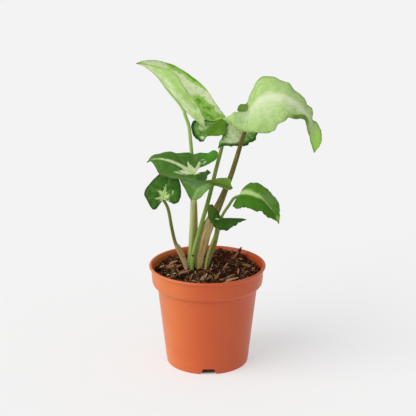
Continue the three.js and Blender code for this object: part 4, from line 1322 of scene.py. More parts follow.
# How strongly marks cover the colour under them.
PATCH_SHARE = 0.9
MOTTLE_SHARE = 0.6
DARK_SHARE = 0.8
RIM_SHARE = 0.85
WING_SHARE = 0.5
SPOT_SHARE = 0.7
PALE_SHARE = 0.22
STREAK_SHARE = 0.7
MOTTLE_LOSS = 0.3  # what a streaky underside has less of mottle
RIB_PAINTED_LIGHT = 0.4
DARK_STREAK_SHARE = (0.25, 0.35)  # what a sheath has more than a stalk, and what a stalk has
UNDER_LEVELS = (0.42, 0.62)
VEIN_RELIEF = 1.2
UPPER_GRAIN = 0.25
UNDER_GRAIN = 0.2
# Roughness: how far it varies, and its least. Relief: its strength, and its height in metres.
UPPER_GLOSS = (0.22, 0.32)
UNDER_GLOSS = (0.2, 0.42)
STALK_GLOSS = (0.25, 0.32)
LEAF_RELIEF = (0.5, 0.0003)
STALK_RELIEF = (0.4, 0.0003)
PALE_STREAKS = 6.5  # noise round a stalk, finer and coarser
DARK_STREAKS = 3.1
SPOTS = 330.0  # noise on a stalk, in waves to a metre
COLOUR_WANDER = 120.0
STALK_WANDER = 8.0  # how far a stalk's colours stray up and down, in millimetres
STALK_STRETCH = 0.02  # streaks to a millimetre of stalk
PALE_LEVELS = (0.42, 0.66)
DARK_STREAK_LEVELS = (0.46, 0.66)
WING = (0.36, 0.5)  # from the front of a stalk, in turns: the dry wings of its sheath
SPOT_LEVELS = (0.66, 0.71)
SPOTTED_TO = (78.0, 96.0)  # heights to which a stalk has dark spots
ON_RIB = (300.0, 400.0)  # between the heights of a stalk and the mark of the midrib


def with_dry_edge(graph, tint):
    """The leaf's colour, browned at its tip and finely along its margin."""
    dry = use_group(graph, "Dry edge")
    scorch = bpy.context.scene.plant_leaves.scorch
    tint = graph.mix(dry["Line"] * LINE_SHARE, tint, scorch)
    return graph.mix(dry["Tip"], tint, scorch)


def upper_face(name):
    """The glossy upper side of a blade."""
    marks = marks_of(name)
    material, graph, shader = new_material(name + "_upper")
    veins = use_group(graph, "Leaf veins", veins=marks["veins"])
    masks = use_group(
        graph, "Leaf markings", spike=veins["Spike"], own=veins["Own"],
        **{key: marks[key] for key in ("edge", "ragged", "speckle", "dusty", "blur")},
    )
    grain = use_group(graph, "Grain", fine_scale=2600.0, coarse_scale=300.0)
    green, light, rim = (srgb(*marks[key]) for key in ("green", "light", "rim"))
    shown = veins["Line"] * marks["vein_show"]
    tint = graph.mix(masks["Mottle"] * MOTTLE_SHARE, green, light)
    tint = graph.mix(shown, tint, light)
    for mark, patch in zip(PATCH_MARKS, marks["patches"]):
        share = graph.mark(mark) + masks["Stray"] * PATCH_STRAY
        share = graph.soft(share, *PATCH_LEVELS) * PATCH_SHARE
        tint = graph.mix(share, tint, srgb(*patch[-1]))
    tint = graph.mix(masks["Cream"], tint, srgb(*marks["cream"]))
    seam = graph.fade(graph.mark("rib_mm"), *SEAM) * masks["Cream"]
    tint = graph.mix(seam * marks["seam"], tint, green)
    tint = graph.mix(masks["Dark"] * DARK_SHARE, tint, rim)
    tint = graph.mix(graph.larger(masks["Rim"], masks["Dust"]) * RIM_SHARE, tint, rim)
    tint = with_dry_edge(graph, tint)
    gloss = grain["Coarse"].spread(*UPPER_GLOSS)
    relief = shown * -VEIN_RELIEF + grain["Fine"] * UPPER_GRAIN
    set_skin(graph, shader, tint, gloss, LEAF_SHEEN, relief, *LEAF_RELIEF)
    return material


def under_face(name):
    """The paler, matt underside of a blade, with raised veins."""
    marks = marks_of(name)
    material, graph, shader = new_material(name + "_under")
    veins = use_group(graph, "Leaf veins", veins=marks["veins"])
    grain = use_group(graph, "Grain", fine_scale=2200.0, coarse_scale=170.0)
    streaks = use_group(graph, "Leaf streaks")
    pale = srgb(*marks["under_streak"])
    mottle = graph.soft(grain["Coarse"], *UNDER_LEVELS) * (MOTTLE_SHARE - MOTTLE_LOSS * marks["streaky"])
    along = streaks["Streak"] * marks["streaky"] * STREAK_SHARE
    share = mottle + along + graph.mark("under_shade")
    shown = veins["Line"] * marks["vein_show"]
    tint = graph.mix(shown, graph.mix(share, srgb(*marks["under"]), pale), pale)
    tint = with_dry_edge(graph, tint)
    gloss = grain["Coarse"].spread(*UNDER_GLOSS)
    relief = shown * VEIN_RELIEF + grain["Fine"] * UNDER_GRAIN
    set_skin(graph, shader, tint, gloss, LEAF_SHEEN, relief, *LEAF_RELIEF)
    return material


def stalk_colours(graph, height, stops):
    """The colours up a stalk, each from its height on."""
    low, high = stops[0][0], stops[-1][0]
    wander = graph.sway(COLOUR_WANDER) * STALK_WANDER
    climb = (height + wander - low) * (1 / (high - low))
    ramp = graph.node("ShaderNodeValToRGB", {"Fac": climb})
    elements = ramp.color_ramp.elements
    elements.remove(elements[1])
    elements[0].color = solid_colour(srgb(*stops[0][1]))
    for level, tone in stops[1:]:
        elements.new((level - low) / (high - low)).color = solid_colour(srgb(*tone))
    return ramp.outputs["Color"]


def with_scar(graph, tint, place):
    """The stalk's colour, with a dark uneven spot at a place in millimetres."""
    fray = graph.sway(FRAY) * SCAR_FRAY
    away = graph.distance(Vector(place) * MM) + fray
    return graph.mix(graph.soft(away, *SCAR_FADE), SCAR_COLOUR, tint)


def stalk_skin(name):
    """A stalk that changes colour on its way up, with fine lengthwise streaks."""
    marks = marks_of(name)
    material, graph, shader = new_material(name + "_stalk")
    height = graph.mark("height_mm")
    tint = stalk_colours(graph, height, marks["stalk"])
    around = graph.vector(graph.mark("side"), graph.mark("front"), height * STALK_STRETCH)
    streak = graph.noise(PALE_STREAKS, 3.0, 0.6, around)
    tint = graph.mix(graph.soft(streak, *PALE_LEVELS) * PALE_SHARE, tint, PALE_STREAK)
    shade = graph.soft(graph.noise(DARK_STREAKS, 3.0, 0.6, around), *DARK_STREAK_LEVELS)
    tint = graph.mix(shade * graph.mark("sheath").spread(*DARK_STREAK_SHARE), tint, DARK_STREAK)
    wings = graph.soft(graph.mark("turn"), *WING) * graph.mark("sheath")
    tint = graph.mix(wings * WING_SHARE, tint, SHEATH_EDGE)
    spots = graph.soft(graph.noise(SPOTS, 1.0), *SPOT_LEVELS) * graph.fade(height, *SPOTTED_TO)
    tint = graph.mix(spots * SPOT_SHARE, tint, SHEATH_SPOT)
    if marks["scar"]:
        tint = with_scar(graph, tint, marks["scar"])
    # Painted light: the midrib under the blade is paler than the underside, to make up for the shade it
    # sits in.
    lit_rib = graph.mix(RIB_PAINTED_LIGHT, srgb(*marks["under"]), srgb(*marks["under_streak"]))
    tint = graph.mix(graph.soft(height, *ON_RIB), tint, lit_rib)
    set_skin(graph, shader, tint, streak.spread(*STALK_GLOSS), LEAF_SHEEN, streak, *STALK_RELIEF)
    return material


PAINTED_LIGHT_SIDE = (-42 * MM, 2 * MM)  # across the pot: the painted light is full at the first place, none at the second
HANDLED_LEVELS = (0.3, 0.7)
HANDLED_SHADE = 0.86
HANDLED_SHARE = 0.25
PEEL_LEVELS = (0.45, 0.7)
PEEL_SHADE = 1.12
PEEL_SHARE = 0.18
PLASTIC_GLOSS = (0.16, 0.3)
PLASTIC_SHEEN = 0.4
PLASTIC_RELIEF = (0.18, 0.0003)
SOIL_SHEEN = 0.15
SOIL_ROUGHNESS = 0.85
SOIL_RELIEF = (0.8, 0.0006)
GRAIN_SHARE = 0.5
BACK_RED_SHARE = 0.6
STRAW_SHADES = (1.1, 1.6)  # shades from which a piece of litter is straw
DUSK_LEVELS = (0.5, 0.7)
DUSK_SHARE = 0.5
PAPER_GRAIN = 40.0
PAPER_SHADE = 0.96
PAPER_SHARE = 0.03
GLOW_FROM = (0.6 * POT_HIGH.x, 0.7 * POT_HIGH.x)  # from the middle of the pot: no glow, full glow


def pot_plastic(settings):
    """Terracotta-coloured moulded plastic with a faint orange peel, handling marks, and painted light on
    its left side.
    """
    material, graph, shader = new_material("terracotta_plastic")
    grain = use_group(graph, "Grain", fine_scale=2400.0, coarse_scale=45.0)
    across = graph.node("ShaderNodeSeparateXYZ", {"Vector": graph.place()}).outputs["X"]
    # Painted light: the plastic turns lighter and more orange towards the pot's left side.
    tint = graph.mix(graph.fade(across, *PAINTED_LIGHT_SIDE), settings.plastic, settings.lit_side)
    handled = graph.soft(grain["Coarse"], *HANDLED_LEVELS) * HANDLED_SHARE
    tint = graph.mix(handled, tint, shaded(settings.plastic, HANDLED_SHADE))
    peel = graph.soft(grain["Fine"], *PEEL_LEVELS) * PEEL_SHARE
    tint = graph.mix(peel, tint, shaded(settings.plastic, PEEL_SHADE))
    gloss = grain["Coarse"].spread(*PLASTIC_GLOSS)
    set_skin(graph, shader, tint, gloss, PLASTIC_SHEEN, grain["Fine"], *PLASTIC_RELIEF)
    return material


def soil_stuff(name, settings, low_tone, high_tone, stops):
    """Peat, bark or fibre: each piece has its own shade, redder at the back, streaked and grained."""
    material, graph, shader = new_material(name)
    grain = use_group(graph, "Grain", fine_scale=1800.0, coarse_scale=420.0)
    share = grain["Coarse"] * GRAIN_SHARE + graph.mark("shade")
    tint = graph.mix(graph.soft(share, *stops), low_tone, high_tone)
    tint = graph.mix(graph.soft(share, *STRAW_SHADES), tint, settings.straw)
    # Redder towards the back right, in a bell round one place.
    tint = graph.mix(graph.mark("warm") * BACK_RED_SHARE, tint, settings.back_red)
    tint = graph.mix(graph.soft(grain["Fine"], *DUSK_LEVELS) * DUSK_SHARE, tint, settings.peat)
    set_skin(graph, shader, tint, SOIL_ROUGHNESS, SOIL_SHEEN, grain["Fine"], *SOIL_RELIEF)
    return material


def paper_floor(settings):
    """Matt paper that glows a little, apart from the part under the pot, which is left dark as painted
    shade.
    """
    material, graph, shader = new_material("studio_paper")
    dimmed = shaded(settings.paper, PAPER_SHADE)
    tint = graph.mix(graph.noise(PAPER_GRAIN) * PAPER_SHARE, settings.paper, dimmed)
    graph.feed(shader.inputs["Base Color"], tint)
    shader.inputs["Roughness"].default_value = 1.0
    shader.inputs["Specular IOR Level"].default_value = 0.0
    # Painted shade: there is no glow under the pot, so the floor there, and where it is seen through the
    # notches, is dark.
    clear_of_pot = graph.soft(graph.distance((0, 0, 0)), *GLOW_FROM)
    graph.feed(shader.inputs["Emission Color"], graph.mix(clear_of_pot, (0, 0, 0), (1, 1, 1)))
    shader.inputs["Emission Strength"].default_value = settings.glow
    return material


# ---- Pot ------------------------------------------------------------------------------------
FLOOR_UNDERSIDE = 4.6
PAD_RADIUS = 11
PAD_SLOPE = 0.6
FOOT_RING_WIDTH = 3.4
FOOT_ROUND = 0.7
FINE_ROUND = 0.3
LIP_RADIUS = 1.1
LIP_STEPS = 10  # over the half turn of the lip
LIP_START = -2  # steps before the outermost place of the lip
COLLAR_FOOT_INSET = 2.4
COLLAR_TOP_INSET = 1.6
COLLAR_BEND = 2.6
COLLAR_BEND_ROUND = 1.4
COLLAR_STEP = 1.2
RIDGE_HEIGHT = 5.8
RIDGE_PROUD = 0.15
RIDGE_ROUND = 0.2
# Up the ridge: height from its middle, and 1 where it stands proud.
RIDGE_STEPS = ((-0.7, 0), (-0.3, 1), (0.3, 1), (0.8, 0))
ROUNDING_STEPS = (0, 0.25, 0.5, 0.75, 1)
NOTCH_COUNT = 4
NOTCH_TOP_WIDTH = 8.4
NOTCH_BOTTOM_WIDTH = 12.8
NOTCH_TURN = math.radians(1.6)
NOTCH_CLEARANCE = 0.02  # cut this far into the floor, so that no two faces lie in one plane
DRAIN_COUNT = 6
DRAIN_RADIUS = 2.5
DRAIN_CUT_DEPTH = 6
DRAIN_SIDES = 24
CUT_PAST = 1  # cutters reach at least this far out of the pot
POT_SHARP = 35  # degrees from which an edge is shown sharp


def rounded(corners):
    """A profile of (radius, height, rounding) corners, with each corner made an arc."""
    points = []
    for k, (r, z, rounding) in enumerate(corners):
        corner = Vector((r, z))
        if rounding == 0:
            points.append(corner)
            continue
        before = Vector(corners[k - 1][:2])
        after = Vector(corners[k + 1][:2])
        start = corner + (before - corner).normalized() * rounding
        end = corner + (after - corner).normalized() * rounding
        for share in ROUNDING_STEPS:
            points.append(start.lerp(corner, share).lerp(corner.lerp(end, share), share))
    return points


def pot_profile(settings):
    """The pot's section, from the middle of its underside over the lip to the middle of its floor."""
    rim, body, base = (settings.rim_radius / MM, settings.body_radius / MM, settings.base_radius / MM)
    height, wall = (settings.height / MM, settings.wall / MM)
    collar = height - settings.collar_drop / MM
    foot_inner = base - FOOT_RING_WIDTH

    def body_at(z):
        return base + (body - base) * z / collar

    floor_top = FLOOR_UNDERSIDE + wall
    under = [
        (0, 0, 0), (PAD_RADIUS, 0, 0.4), (PAD_RADIUS + PAD_SLOPE, FLOOR_UNDERSIDE, FINE_ROUND),
        (foot_inner, FLOOR_UNDERSIDE, FINE_ROUND), (foot_inner, 0, FINE_ROUND), (base, 0, FOOT_ROUND),
    ]
    ridge = []
    for rise, proud in RIDGE_STEPS:
        z = RIDGE_HEIGHT + rise
        ridge.append((body_at(z) + proud * RIDGE_PROUD, z, RIDGE_ROUND))
    outside = [
        (body, collar, 0.35), (body + COLLAR_STEP, collar, 0.5),
        (rim - COLLAR_FOOT_INSET, collar + COLLAR_BEND, COLLAR_BEND_ROUND),
        (rim - COLLAR_TOP_INSET, height - 3 * LIP_RADIUS, 0.4),
    ]
    inside = [
        (rim - COLLAR_TOP_INSET - wall, height - 2 * LIP_RADIUS, FINE_ROUND),
        (rim - COLLAR_FOOT_INSET - wall, collar + COLLAR_BEND, COLLAR_BEND_ROUND),
        (body - wall, collar, 0.5), (body_at(floor_top) - wall, floor_top, 0.8), (0, floor_top, 0),
    ]
    points = rounded([*under, *ridge, *outside, (rim, height - 2 * LIP_RADIUS, 0)])[:-1]
    for k in range(LIP_START, LIP_STEPS + 1):
        angle = k * math.pi / LIP_STEPS
        reach = rim - LIP_RADIUS * (1 - math.cos(angle))
        points.append(Vector((reach, height - LIP_RADIUS + LIP_RADIUS * math.sin(angle))))
    points += rounded([(rim - 2 * LIP_RADIUS, height - LIP_RADIUS, 0), *inside])[1:]
    return points


def cutter_bmesh(settings):
    """The notches and drain holes, as one set of closed shapes to cut from the pot."""
    base = settings.base_radius / MM
    foot_inner = base - FOOT_RING_WIDTH
    widen = (NOTCH_BOTTOM_WIDTH - NOTCH_TOP_WIDTH) / FLOOR_UNDERSIDE
    bm = bmesh.new()
    for k in range(NOTCH_COUNT):
        made = bmesh.ops.create_cube(bm, size=1)
        for vert in made["verts"]:
            at_top = vert.co.z > 0
            vert.co.x *= NOTCH_TOP_WIDTH if at_top else NOTCH_BOTTOM_WIDTH + widen * CUT_PAST
            vert.co.y = -foot_inner + CUT_PAST if vert.co.y > 0 else -base - 2 * CUT_PAST
            vert.co.z = FLOOR_UNDERSIDE + NOTCH_CLEARANCE if at_top else -CUT_PAST
        turn_verts(bm, made["verts"], 2 * math.pi * k / NOTCH_COUNT + NOTCH_TURN)
    for k in range(DRAIN_COUNT):
        made = bmesh.ops.create_cone(
            bm, cap_ends=True, segments=DRAIN_SIDES, radius1=DRAIN_RADIUS, radius2=DRAIN_RADIUS,
            depth=DRAIN_CUT_DEPTH,
        )
        shift = Vector(((PAD_RADIUS + foot_inner) / 2, 0, FLOOR_UNDERSIDE))
        bmesh.ops.translate(bm, verts=made["verts"], vec=shift)
        turn_verts(bm, made["verts"], 2 * math.pi * (k + 0.5) / DRAIN_COUNT)
    face_outwards(bm)
    in_metres(bm)
    return bm


def cut(piece, cutter_bm):
    """piece with the cutter's shapes taken out of its mesh."""
    cutter = placed("cutter", mesh_of("cutter", cutter_bm))
    modifier = piece.modifiers.new("Cut", "BOOLEAN")
    modifier.operation = "DIFFERENCE"
    modifier.solver = "EXACT"
    modifier.object = cutter
    mesh = applied_mesh(piece)
    piece.modifiers.clear()
    piece.data = mesh
    bpy.data.objects.remove(cutter)


class PLANT_OT_pot(bpy.types.Operator):
    """Turn the pot from its profile, and cut its notches and drain holes"""
    bl_idname = "plant.pot"
    bl_label = "Make the pot"

    def execute(self, context):
        settings = context.scene.plant_pot
        bm = bmesh.new()
        verts = [bm.verts.new((point.x, 0, point.y)) for point in pot_profile(settings)]
        edges = [bm.edges.new(pair) for pair in zip(verts, verts[1:])]
        bmesh.ops.spin(
            bm, geom=verts + edges, axis=(0, 0, 1), cent=(0, 0, 0), angle=2 * math.pi,
            steps=settings.turns, use_merge=True,
        )
        weld(bm)
        face_outwards(bm)
        in_metres(bm)
        pot = finished("nursery_pot", bm, [pot_plastic(settings)], POT_SHARP)
        cut(pot, cutter_bmesh(settings))
        smooth_shaded(pot.data, POT_SHARP)
        put_in_place(pot, "pot", "pot")
        return {"FINISHED"}


# ---- Soil -----------------------------------------------------------------------------------
# Rises and dips of the soil's top: (x, y), height and spread, in millimetres.
SOIL_BELLS = [((16, 33), 5.6, 16), ((-28, 26), 2.6, 10.5), ((-6, 8), -1.4, 9.2)]
SOIL_GRID = 150
SOIL_MARKS = ("shade", "warm")
SOIL_EDGE_GAP = 0.5  # between the top of the soil and the pot's wall
SOIL_GAP = 0.3  # between the body of the soil and the pot's wall
BASE_WIDENING = 0.4  # the pot is this much wider at the soil's foot than at its own
SOIL_SUNK = 0.6  # how far the lumpy top lies under the plain one
ROLL_HEIGHT = 0.7  # slow waves and fine ripples of the top
ROLL_LENGTH = 2.5
RIPPLE_HEIGHT = 0.4
RIPPLE_LENGTH = 1.2
LUMP_SIZE = 3.4
LUMP_HEIGHT = 1.3
LUMP_LEVEL = 0.45
CRUMB_SIZE = 1.5
CRUMB_HEIGHT = 0.9
CRUMB_LEVEL = 0.4
CRUMB_SHIFT = Vector((7, 3, 1))
ROUGH_SIZE = 1.8
ROUGH_HEIGHT = 0.5
ROUGH_FRACTAL = (0.8, 2.0, 3)  # fall in height, rise in fineness and number of its layers
PEAT_SHADE = 0.25
LUMP_SHADE = 0.35
ROUGH_SHADE = 0.25
BACK_RED_FROM_RISE = Vector((-2, -10))  # the reddish clump from the first rise of the soil
BACK_RED_SPREAD = 1.2
PEAT_STOPS = (0.3, 0.85)
SOIL_SHARP = 60
# Bark in plain sight: (x, y), (length, width, thickness), turn and tilt in degrees, shade.
PLACED_CHIPS = [
    ((-30, 11), (12, 7, 1.0), 12, 8, 0.45),
    ((-27, 15), (9, 3.4, 0.8), 36, 12, 0.65),
    ((-24, 8), (9, 1.8, 1.0), 30, 18, 0.5),
    ((-18.6, 0.1), (12.5, 2, 1.2), 30, 4, 0.95),
    ((-5, -20), (13, 1.6, 1.0), 66, 20, 0.9),
    ((-2.5, -15), (12, 1.8, 1.0), 62, 30, 1.0),
    ((6.5, -13), (9, 2.6, 1.2), 58, 25, 0.3),
    ((10, -19), (8, 2.2, 1.1), 40, 10, 0.6),
    ((17.5, -19.5), (13, 4, 1.0), 28, 8, 0.95),
    ((17, -10), (9, 2.2, 1.0), 28, 12, 0.4),
    ((23, 25), (15, 2.2, 1.8), 38, 50, 0.0),
    ((21, 22), (12, 1.6, 1.4), 38, 38, 0.8),
    ((25.5, 21), (11, 1.3, 1.0), -70, 8, 0.75),
    ((30, 11), (10, 1.3, 1.0), -48, 6, 0.8),
    ((3.3, 9), (12, 0.7, 0.6), 78, 28, 1.2),
    ((14, 9), (9, 0.8, 0.6), 60, 25, 1.0),
    ((-26, -4), (8, 1.4, 0.5), -66, 20, 1.5),
    ((-30.3, -5), (6, 1.2, 0.5), -72, 18, 1.4),
    ((-35.5, 8), (5, 1.2, 0.5), 40, 10, 1.2),
]


def soil_height(x, y, level):
    """Height of the plain soil at a place."""
    height = level
    for (at_x, at_y), rise, spread in SOIL_BELLS:
        height += rise * math.exp(-((x - at_x) ** 2 + (y - at_y) ** 2) / (2 * spread**2))
    height += ROLL_HEIGHT * math.sin(x / ROLL_LENGTH + 1) * math.cos(y / ROLL_LENGTH)
    return height + RIPPLE_HEIGHT * math.sin((x - y) / RIPPLE_LENGTH)


def soil_lumps(x, y):
    """How far lumps and crumbs rise out of the plain soil at a place, and its shade there, darker in the
    hollows as painted shade.
    """
    place = Vector((x, y, 0))
    lumps = noise.voronoi(place / LUMP_SIZE)[0][0]
    crumbs = noise.voronoi(place / CRUMB_SIZE + CRUMB_SHIFT)[0][0]
    rough = noise.fractal(place / ROUGH_SIZE, *ROUGH_FRACTAL)
    rise = LUMP_HEIGHT * (LUMP_LEVEL - lumps) + CRUMB_HEIGHT * (CRUMB_LEVEL - crumbs)
    # Painted shade: the shade falls with the lumps' height, so the hollows between them are darker.
    shade = PEAT_SHADE - LUMP_SHADE * lumps + ROUGH_SHADE * rough
    return rise + ROUGH_HEIGHT * rough - SOIL_SUNK, shade


def soil_warmth(x, y):
    """1 in the middle of the reddish clump at the back, 0 away from it."""
    rise, _, spread = SOIL_BELLS[0]
    away = Vector((x, y)) - Vector(rise) - BACK_RED_FROM_RISE
    return math.exp(-away.length_squared / (BACK_RED_SPREAD * spread**2))


def soil_edge_radius(pot):
    return (pot.rim_radius - pot.wall) / MM - COLLAR_TOP_INSET - SOIL_EDGE_GAP


class PLANT_OT_soil(bpy.types.Operator):
    """Fill the pot with peat: a lumpy top over a plain body"""
    bl_idname = "plant.soil"
    bl_label = "Make the soil"

    def execute(self, context):
        settings = context.scene.plant_soil
        pot = context.scene.plant_pot
        bm = bmesh.new()
        self.make_top(bm, settings.level / MM, soil_edge_radius(pot))
        self.close_below(bm, pot)
        face_outwards(bm)
        in_metres(bm)
        peat = soil_stuff("peat", settings, settings.peat, settings.earth, PEAT_STOPS)
        put_in_place(finished("potting_soil", bm, [peat], SOIL_SHARP), "soil", "soil")
        return {"FINISHED"}

    def make_top(self, bm, level, radius):
        """A square grid drawn out to a disc, raised to the soil's lumps."""
        layers = mark_layers(bm, SOIL_MARKS)
        grid = bmesh.ops.create_grid(bm, x_segments=SOIL_GRID, y_segments=SOIL_GRID, size=1)
        for vert in grid["verts"]:
            across, deep, _ = vert.co
            x = radius * across * math.sqrt(1 - deep * deep / 2)
            y = radius * deep * math.sqrt(1 - across * across / 2)
            rise, shade = soil_lumps(x, y)
            vert.co = (x, y, soil_height(x, y, level) + rise)
            set_marks(vert, layers, {"shade": shade, "warm": soil_warmth(x, y)})

    def close_below(self, bm, pot):
        """The plain body of the soil, from the edge of its top down to the pot's floor."""
        rim = [edge for edge in bm.edges if edge.is_boundary]
        for radius, height in self.rings(pot):
            made = bmesh.ops.extrude_edge_only(bm, edges=rim)["geom"]
            for vert in (item for item in made if isinstance(item, bmesh.types.BMVert)):
                flat = vert.co.xy.normalized() * radius
                vert.co = (*flat, height)
            rim = [item for item in made if isinstance(item, bmesh.types.BMEdge)]
        bmesh.ops.holes_fill(bm, edges=rim, sides=0)

    def rings(self, pot):
        """Radius and height of the body's outline from the top edge down to the floor."""
        collar = (pot.height - pot.collar_drop) / MM
        skin = pot.wall / MM + SOIL_GAP
        return [
            (pot.rim_radius / MM - COLLAR_FOOT_INSET - skin, collar + COLLAR_BEND + SOIL_GAP),
            (pot.body_radius / MM - skin, collar + SOIL_GAP),
            (pot.base_radius / MM - skin + BASE_WIDENING, FLOOR_UNDERSIDE + skin),
        ]


# A splinter starts as a cube of size 1, and is shaped before it is drawn out to its size.
SPLINTER_CUTS = 4
MOST_BEND = 0.2
END_NARROWING = 0.55
END_THINNING = 0.5
RAGGED_SIDES = 0.5
RAGGED_ENDS = 0.12
PALE_SHADES = (0.3, 0.6)  # pale litter takes less of the red at the back, and none from the second on


class Litter:
    """Many small pieces gathered in one mesh; operators run fastest on each piece alone."""

    def __init__(self):
        self.all = bmesh.new()
        mark_layers(self.all, SOIL_MARKS)

    def add(self, piece, place, turn, tilt, shade):
        """Tilt and turn a piece made at the origin, and set it down at a place."""
        turn_verts(piece, piece.verts, -tilt, "Y")
        turn_verts(piece, piece.verts, turn)
        bmesh.ops.translate(piece, verts=piece.verts, vec=place)
        layers = mark_layers(piece, SOIL_MARKS)
        warm = soil_warmth(*place[:2]) * (1 - smooth_step(*PALE_SHADES, shade))
        for vert in piece.verts:
            set_marks(vert, layers, {"shade": shade, "warm": warm})
        scratch = mesh_of("scratch", piece)
        self.all.from_mesh(scratch)
        bpy.data.meshes.remove(scratch)


def splinter(size, rng):
    """A splinter of bark: a bent slab with ragged ends."""
    piece = bmesh.new()
    made = bmesh.ops.create_cube(piece, size=1)
    long_edges = {edge for vert in made["verts"] for edge in vert.link_edges
                  if abs(edge.verts[0].co.x - edge.verts[1].co.x) > 0.5}
    bmesh.ops.subdivide_edges(piece, edges=list(long_edges), cuts=SPLINTER_CUTS, use_grid_fill=True)
    bend = rng.uniform(-MOST_BEND, MOST_BEND)
    phase = rng.uniform(0, 100)
    for vert in piece.verts:
        x, y, z = vert.co
        end = abs(x) * 2
        y *= 1 - END_NARROWING * end**2 + RAGGED_SIDES * noise.noise(Vector((x * 6, phase, y)))
        z *= 1 - END_THINNING * end**2 + RAGGED_SIDES * noise.noise(Vector((x * 5, y * 2, phase)))
        z += bend * (0.25 - x**2) * size[0] / max(size[2], 0.5)
        x += RAGGED_ENDS * noise.noise(Vector((y * 9, z * 3, phase)))
        vert.co = Vector((x * size[0], y * size[1], z * size[2]))
    return piece


CRUMB_SHARES = ((0.7, 1.5), (0.6, 1.1), (0.5, 1))  # of a crumb's size: its length, width and height
CRUMB_UNEVEN = 0.3


def crumb(size, rng):
    """A crumb of peat: an uneven ball."""
    piece = bmesh.new()
    bmesh.ops.create_icosphere(piece, subdivisions=1, radius=1)
    stretch = [size * rng.uniform(*share) for share in CRUMB_SHARES]
    for vert in piece.verts:
        vert.co *= 1 + rng.uniform(-CRUMB_UNEVEN, CRUMB_UNEVEN)
    bmesh.ops.scale(piece, vec=stretch, verts=piece.verts)
    return piece


FIBRE_STEPS = 7
FIBRE_SIDES = 4
FIBRE_TAPER = 0.6


def fibre(span, radius, lift, curl):
    """A thin root that starts at the origin, arches over the peat and tapers."""
    path = [Vector((0, 0, 0))]
    for k in range(1, FIBRE_STEPS + 1):
        share = k / FIBRE_STEPS
        ahead = Vector((math.cos(curl * share), math.sin(curl * share), 0)) * (span / FIBRE_STEPS)
        at = path[-1] + ahead
        at.z = lift * math.sin(math.pi * share)
        path.append(at)
    piece = bmesh.new()
    bmesh.ops.create_grid(piece, x_segments=FIBRE_STEPS, y_segments=FIBRE_SIDES, size=1)
    for vert in piece.verts:
        row = grid_step(vert.co.x, FIBRE_STEPS)
        angle = math.pi * vert.co.y
        tangent = (path[min(row + 1, FIBRE_STEPS)] - path[max(row - 1, 0)]).normalized()
        side = tangent.cross(Vector((0, 0, 1))).normalized()
        top = side.cross(tangent)
        taper = radius * (1 - FIBRE_TAPER * row / FIBRE_STEPS)
        vert.co = path[row] + side * (math.cos(angle) * taper) + top * (math.sin(angle) * taper)
    weld(piece)
    bmesh.ops.holes_fill(piece, edges=piece.edges, sides=FIBRE_SIDES)
    return piece


# Ranges that the scattered pieces are drawn from; a lift is a height over the soil.
CHIP_LIFT = (-0.1, 0.7)
SHORTEST_CHIP = 1.8
CHIP_LENGTH_RANGE = 6
CHIP_WIDTH = (0.35, 1.4)
CHIP_THICKNESS = (0.3, 0.9)
CHIP_TILT = 0.45
# Shades of the scattered chips: up to which share of them, darkest and palest.
CHIP_SHADES = ((0.07, 0.7, 1.1), (0.27, 0.2, 0.65), (1.0, -0.4, 0.1))
PLACED_LIFT = 0.6
CRUMB_LIFT = (-0.3, 0.3)
CRUMB_RADIUS = (0.35, 1.3)
CRUMB_SHRINK = (0.6, 1.0)
CRUMB_TILT = (-0.5, 0.5)
CRUMB_SHADE = (-0.3, 0.6)
CRUMB_REACH = 1.02  # of the reach of the chips
FIBRE_LIFT = 0.2
FIBRE_SPAN = (2, 7)
FIBRE_RADIUS = (0.08, 0.24)
FIBRE_ARCH = (0.2, 1.3)
FIBRE_CURL = (-1, 1)
FIBRE_SHADE = (-0.3, 0.9)
FIBRE_REACH = 0.92
# Shades at which a piece has its low tone and its high tone.
CHIP_STOPS = (0.1, 1.05)
CRUMB_STOPS = (0.1, 0.8)
FIBRE_STOPS = (0.2, 1.0)
CORE_SHADE = 0.5  # the low tone of bark against the lighter peat
LITTER_SHARP = 50
LITTER_FROM_EDGE = 1.5
CHIP_SEED = 11
CRUMB_SEED = 23
FIBRE_SEED = 37


